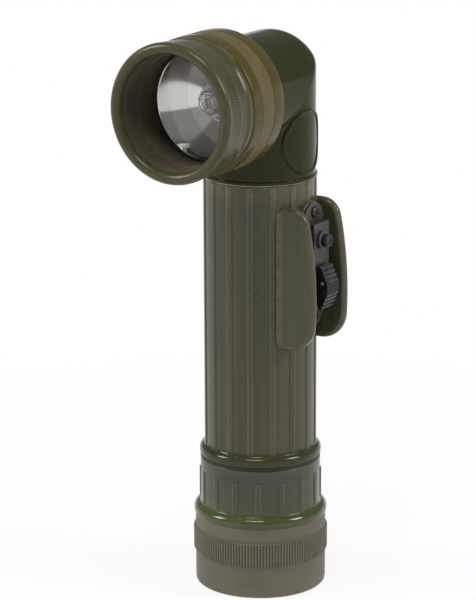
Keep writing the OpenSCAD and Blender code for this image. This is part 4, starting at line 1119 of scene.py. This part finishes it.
class FinishInside(bpy.types.Operator):
    """Give the pieces inside their finishes"""

    bl_idname = "flashlight.inside"
    bl_label = "Inside"

    def execute(self, context):
        brass = metal("contact brass", (0.62, 0.42, 0.16), 0.24, 0.15, 0.7, (1, 1, 0.1))
        paint(brass, "bulb_contact", "disc_rivet", "lamp_leaf", "lamp_strip", "ground_strip",
              "cap_contact", "contact_points", "slide_contact")
        paint(metal("tinned wire", (0.6, 0.6, 0.57), 0.25), "battery_spring", "button_spring")
        can = metal("plain cell can", (0.45, 0.46, 0.48), 0.28, 0.1, 0.8, (1, 1, 0.05))
        paint(can, "battery_lower", "battery_upper")
        paint(board("brown board", (0.13, 0.065, 0.03)), "contact_disc")
        paint(board("dark board", (0.02, 0.016, 0.013)), "bulb_holder", "switch_base")
        paint(rubber("soft foam", (0.03, 0.03, 0.03)), "spare_bulb_cradle")
        tints = {"red": (0.75, 0.03, 0.02), "blue": (0.03, 0.12, 0.7), "green": (0.03, 0.5, 0.14)}
        for key, colour in tints.items():
            paint(clear(key + " filter", colour, 0.08, 1.49), "filter_" + key)
        paint(clear("frosted filter", (0.86, 0.88, 0.88), 0.35, 1.49), "filter_clear")
        return {"FINISHED"}


# Stage


def sweep_sheet():
    """A round pale floor whose edge turns up into a low wall, all round."""
    bm = bmesh.new()
    bmesh.ops.create_circle(bm, cap_ends=True, radius=FLOOR_R, segments=96)
    turns = [radians(90 / COVE_STEPS * (step + 1)) for step in range(COVE_STEPS)]
    rows = [(FLOOR_R + COVE_R * sin(t), COVE_R * (1 - cos(t))) for t in turns]
    edge, reach, height = bm.edges[:], FLOOR_R, 0.0
    for out, up in rows + [(rows[-1][0], WALL_TOP)]:
        grown = bmesh.ops.extrude_edge_only(bm, edges=edge)["geom"]
        verts = [g for g in grown if isinstance(g, bmesh.types.BMVert)]
        bmesh.ops.scale(bm, verts=verts, vec=(out / reach, out / reach, 1))
        bmesh.ops.translate(bm, verts=verts, vec=(0, 0, up - height))
        edge = [g for g in grown if isinstance(g, bmesh.types.BMEdge)]
        reach, height = out, up
    return bm


def floor_finish():
    """A pale floor that adds white for the camera and in reflections, less so by the object."""
    f = Finish("pale floor")
    pale = f.mix(f.remap(f.noise(3, 2), 0.3, 0.7), (0.90, 0.90, 0.90), (0.93, 0.93, 0.93))
    f.set(Base_Color=pale, Roughness=0.8)
    paths = f.node("ShaderNodeLightPath")
    seen = paths.outputs["Is Camera Ray"]
    for key in ("Is Glossy Ray", "Is Transmission Ray"):
        seen = f.math("MAXIMUM", seen, paths.outputs[key])
    away = f.node("ShaderNodeVectorMath")
    away.operation = "LENGTH"
    f.feed(away.inputs[0], f.coords)
    near = f.math("MULTIPLY", seen, f.remap(away.outputs["Value"], 0.05, 0.30, 0.86, 1.0))
    glow = f.node("ShaderNodeEmission", Strength=1.0)
    add = f.node("ShaderNodeMixShader")
    for socket, value in zip(add.inputs, (near, f.bsdf.outputs[0], glow.outputs[0])):
        f.feed(socket, value)
    f.feed(f.out.inputs[0], add.outputs[0])
    return f.mat


def add_lamp(name, place, target, size, power):
    """A soft white rectangular lamp turned to its target."""
    lamp = bpy.data.lights.new(name, "AREA")
    lamp.shape = "RECTANGLE"
    lamp.size, lamp.size_y = size
    lamp.energy = power
    obj = new_object(name, lamp)
    obj.location = place
    aim = Vector(target) - Vector(place)
    obj.rotation_euler = aim.to_track_quat("-Z", "Y").to_euler()


def even_world(scene):
    """One plain level of light from every side."""
    world = scene.world or bpy.data.worlds.new("soft world")
    scene.world = world
    world.use_nodes = True
    tree = world.node_tree
    tree.nodes.clear()
    even = tree.nodes.new("ShaderNodeBackground")
    even.inputs["Color"].default_value = (1, 1, 1, 1)
    even.inputs["Strength"].default_value = WORLD_LIGHT
    tree.links.new(even.outputs[0], tree.nodes.new("ShaderNodeOutputWorld").inputs[0])


def add_camera(scene):
    """The camera that took the photo."""
    lens = bpy.data.cameras.new("camera")
    lens.lens = CAMERA_LENS
    lens.shift_x, lens.shift_y = CAMERA_SHIFT
    lens.clip_start, lens.clip_end = 0.05, 20
    camera = new_object("camera", lens)
    camera.location = CAMERA_PLACE
    camera.rotation_euler = [radians(a) for a in CAMERA_TURN]
    scene.camera = camera


class BuildStage(bpy.types.Operator):
    """Build the floor, the lights, the world and the camera"""

    bl_idname = "flashlight.stage"
    bl_label = "Stage"

    def execute(self, context):
        floor = from_bmesh(sweep_sheet(), "floor")
        floor.data.materials.append(floor_finish())
        for lamp in LAMPS:
            add_lamp(*lamp)
        even_world(context.scene)
        add_camera(context.scene)
        context.scene.view_settings.view_transform = "Standard"
        return {"FINISHED"}


class LightPanel(bpy.types.Panel):
    """Lists the flashlight's pieces and sizes"""

    bl_idname = "FLASHLIGHT_PT_panel"
    bl_label = "Flashlight"
    bl_space_type = "VIEW_3D"
    bl_region_type = "UI"
    bl_category = "Flashlight"

    def draw(self, context):
        layout = self.layout
        for group in (sizes(), colours()):
            for key in group.__annotations__:
                layout.prop(group, key)
        for op in OPERATORS:
            layout.operator(op.bl_idname)


OPERATORS = (
    BuildBarrel, BuildElbow, BuildCaps, BuildHead, BuildLamp, BuildSwitch, BuildClip,
    FinishInside, BuildStage)
CLASSES = (LightSizes, LightColours, *OPERATORS, LightPanel)


def register():
    for cls in CLASSES:
        bpy.utils.register_class(cls)
    bpy.types.Scene.light_sizes = PointerProperty(type=LightSizes)
    bpy.types.Scene.light_colours = PointerProperty(type=LightColours)


def unregister():
    del bpy.types.Scene.light_colours
    del bpy.types.Scene.light_sizes
    for cls in reversed(CLASSES):
        bpy.utils.unregister_class(cls)


def main():
    """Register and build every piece."""
    register()
    for op in OPERATORS:
        getattr(bpy.ops.flashlight, op.bl_idname.split(".")[1])()


if __name__ == "__main__":
    main()
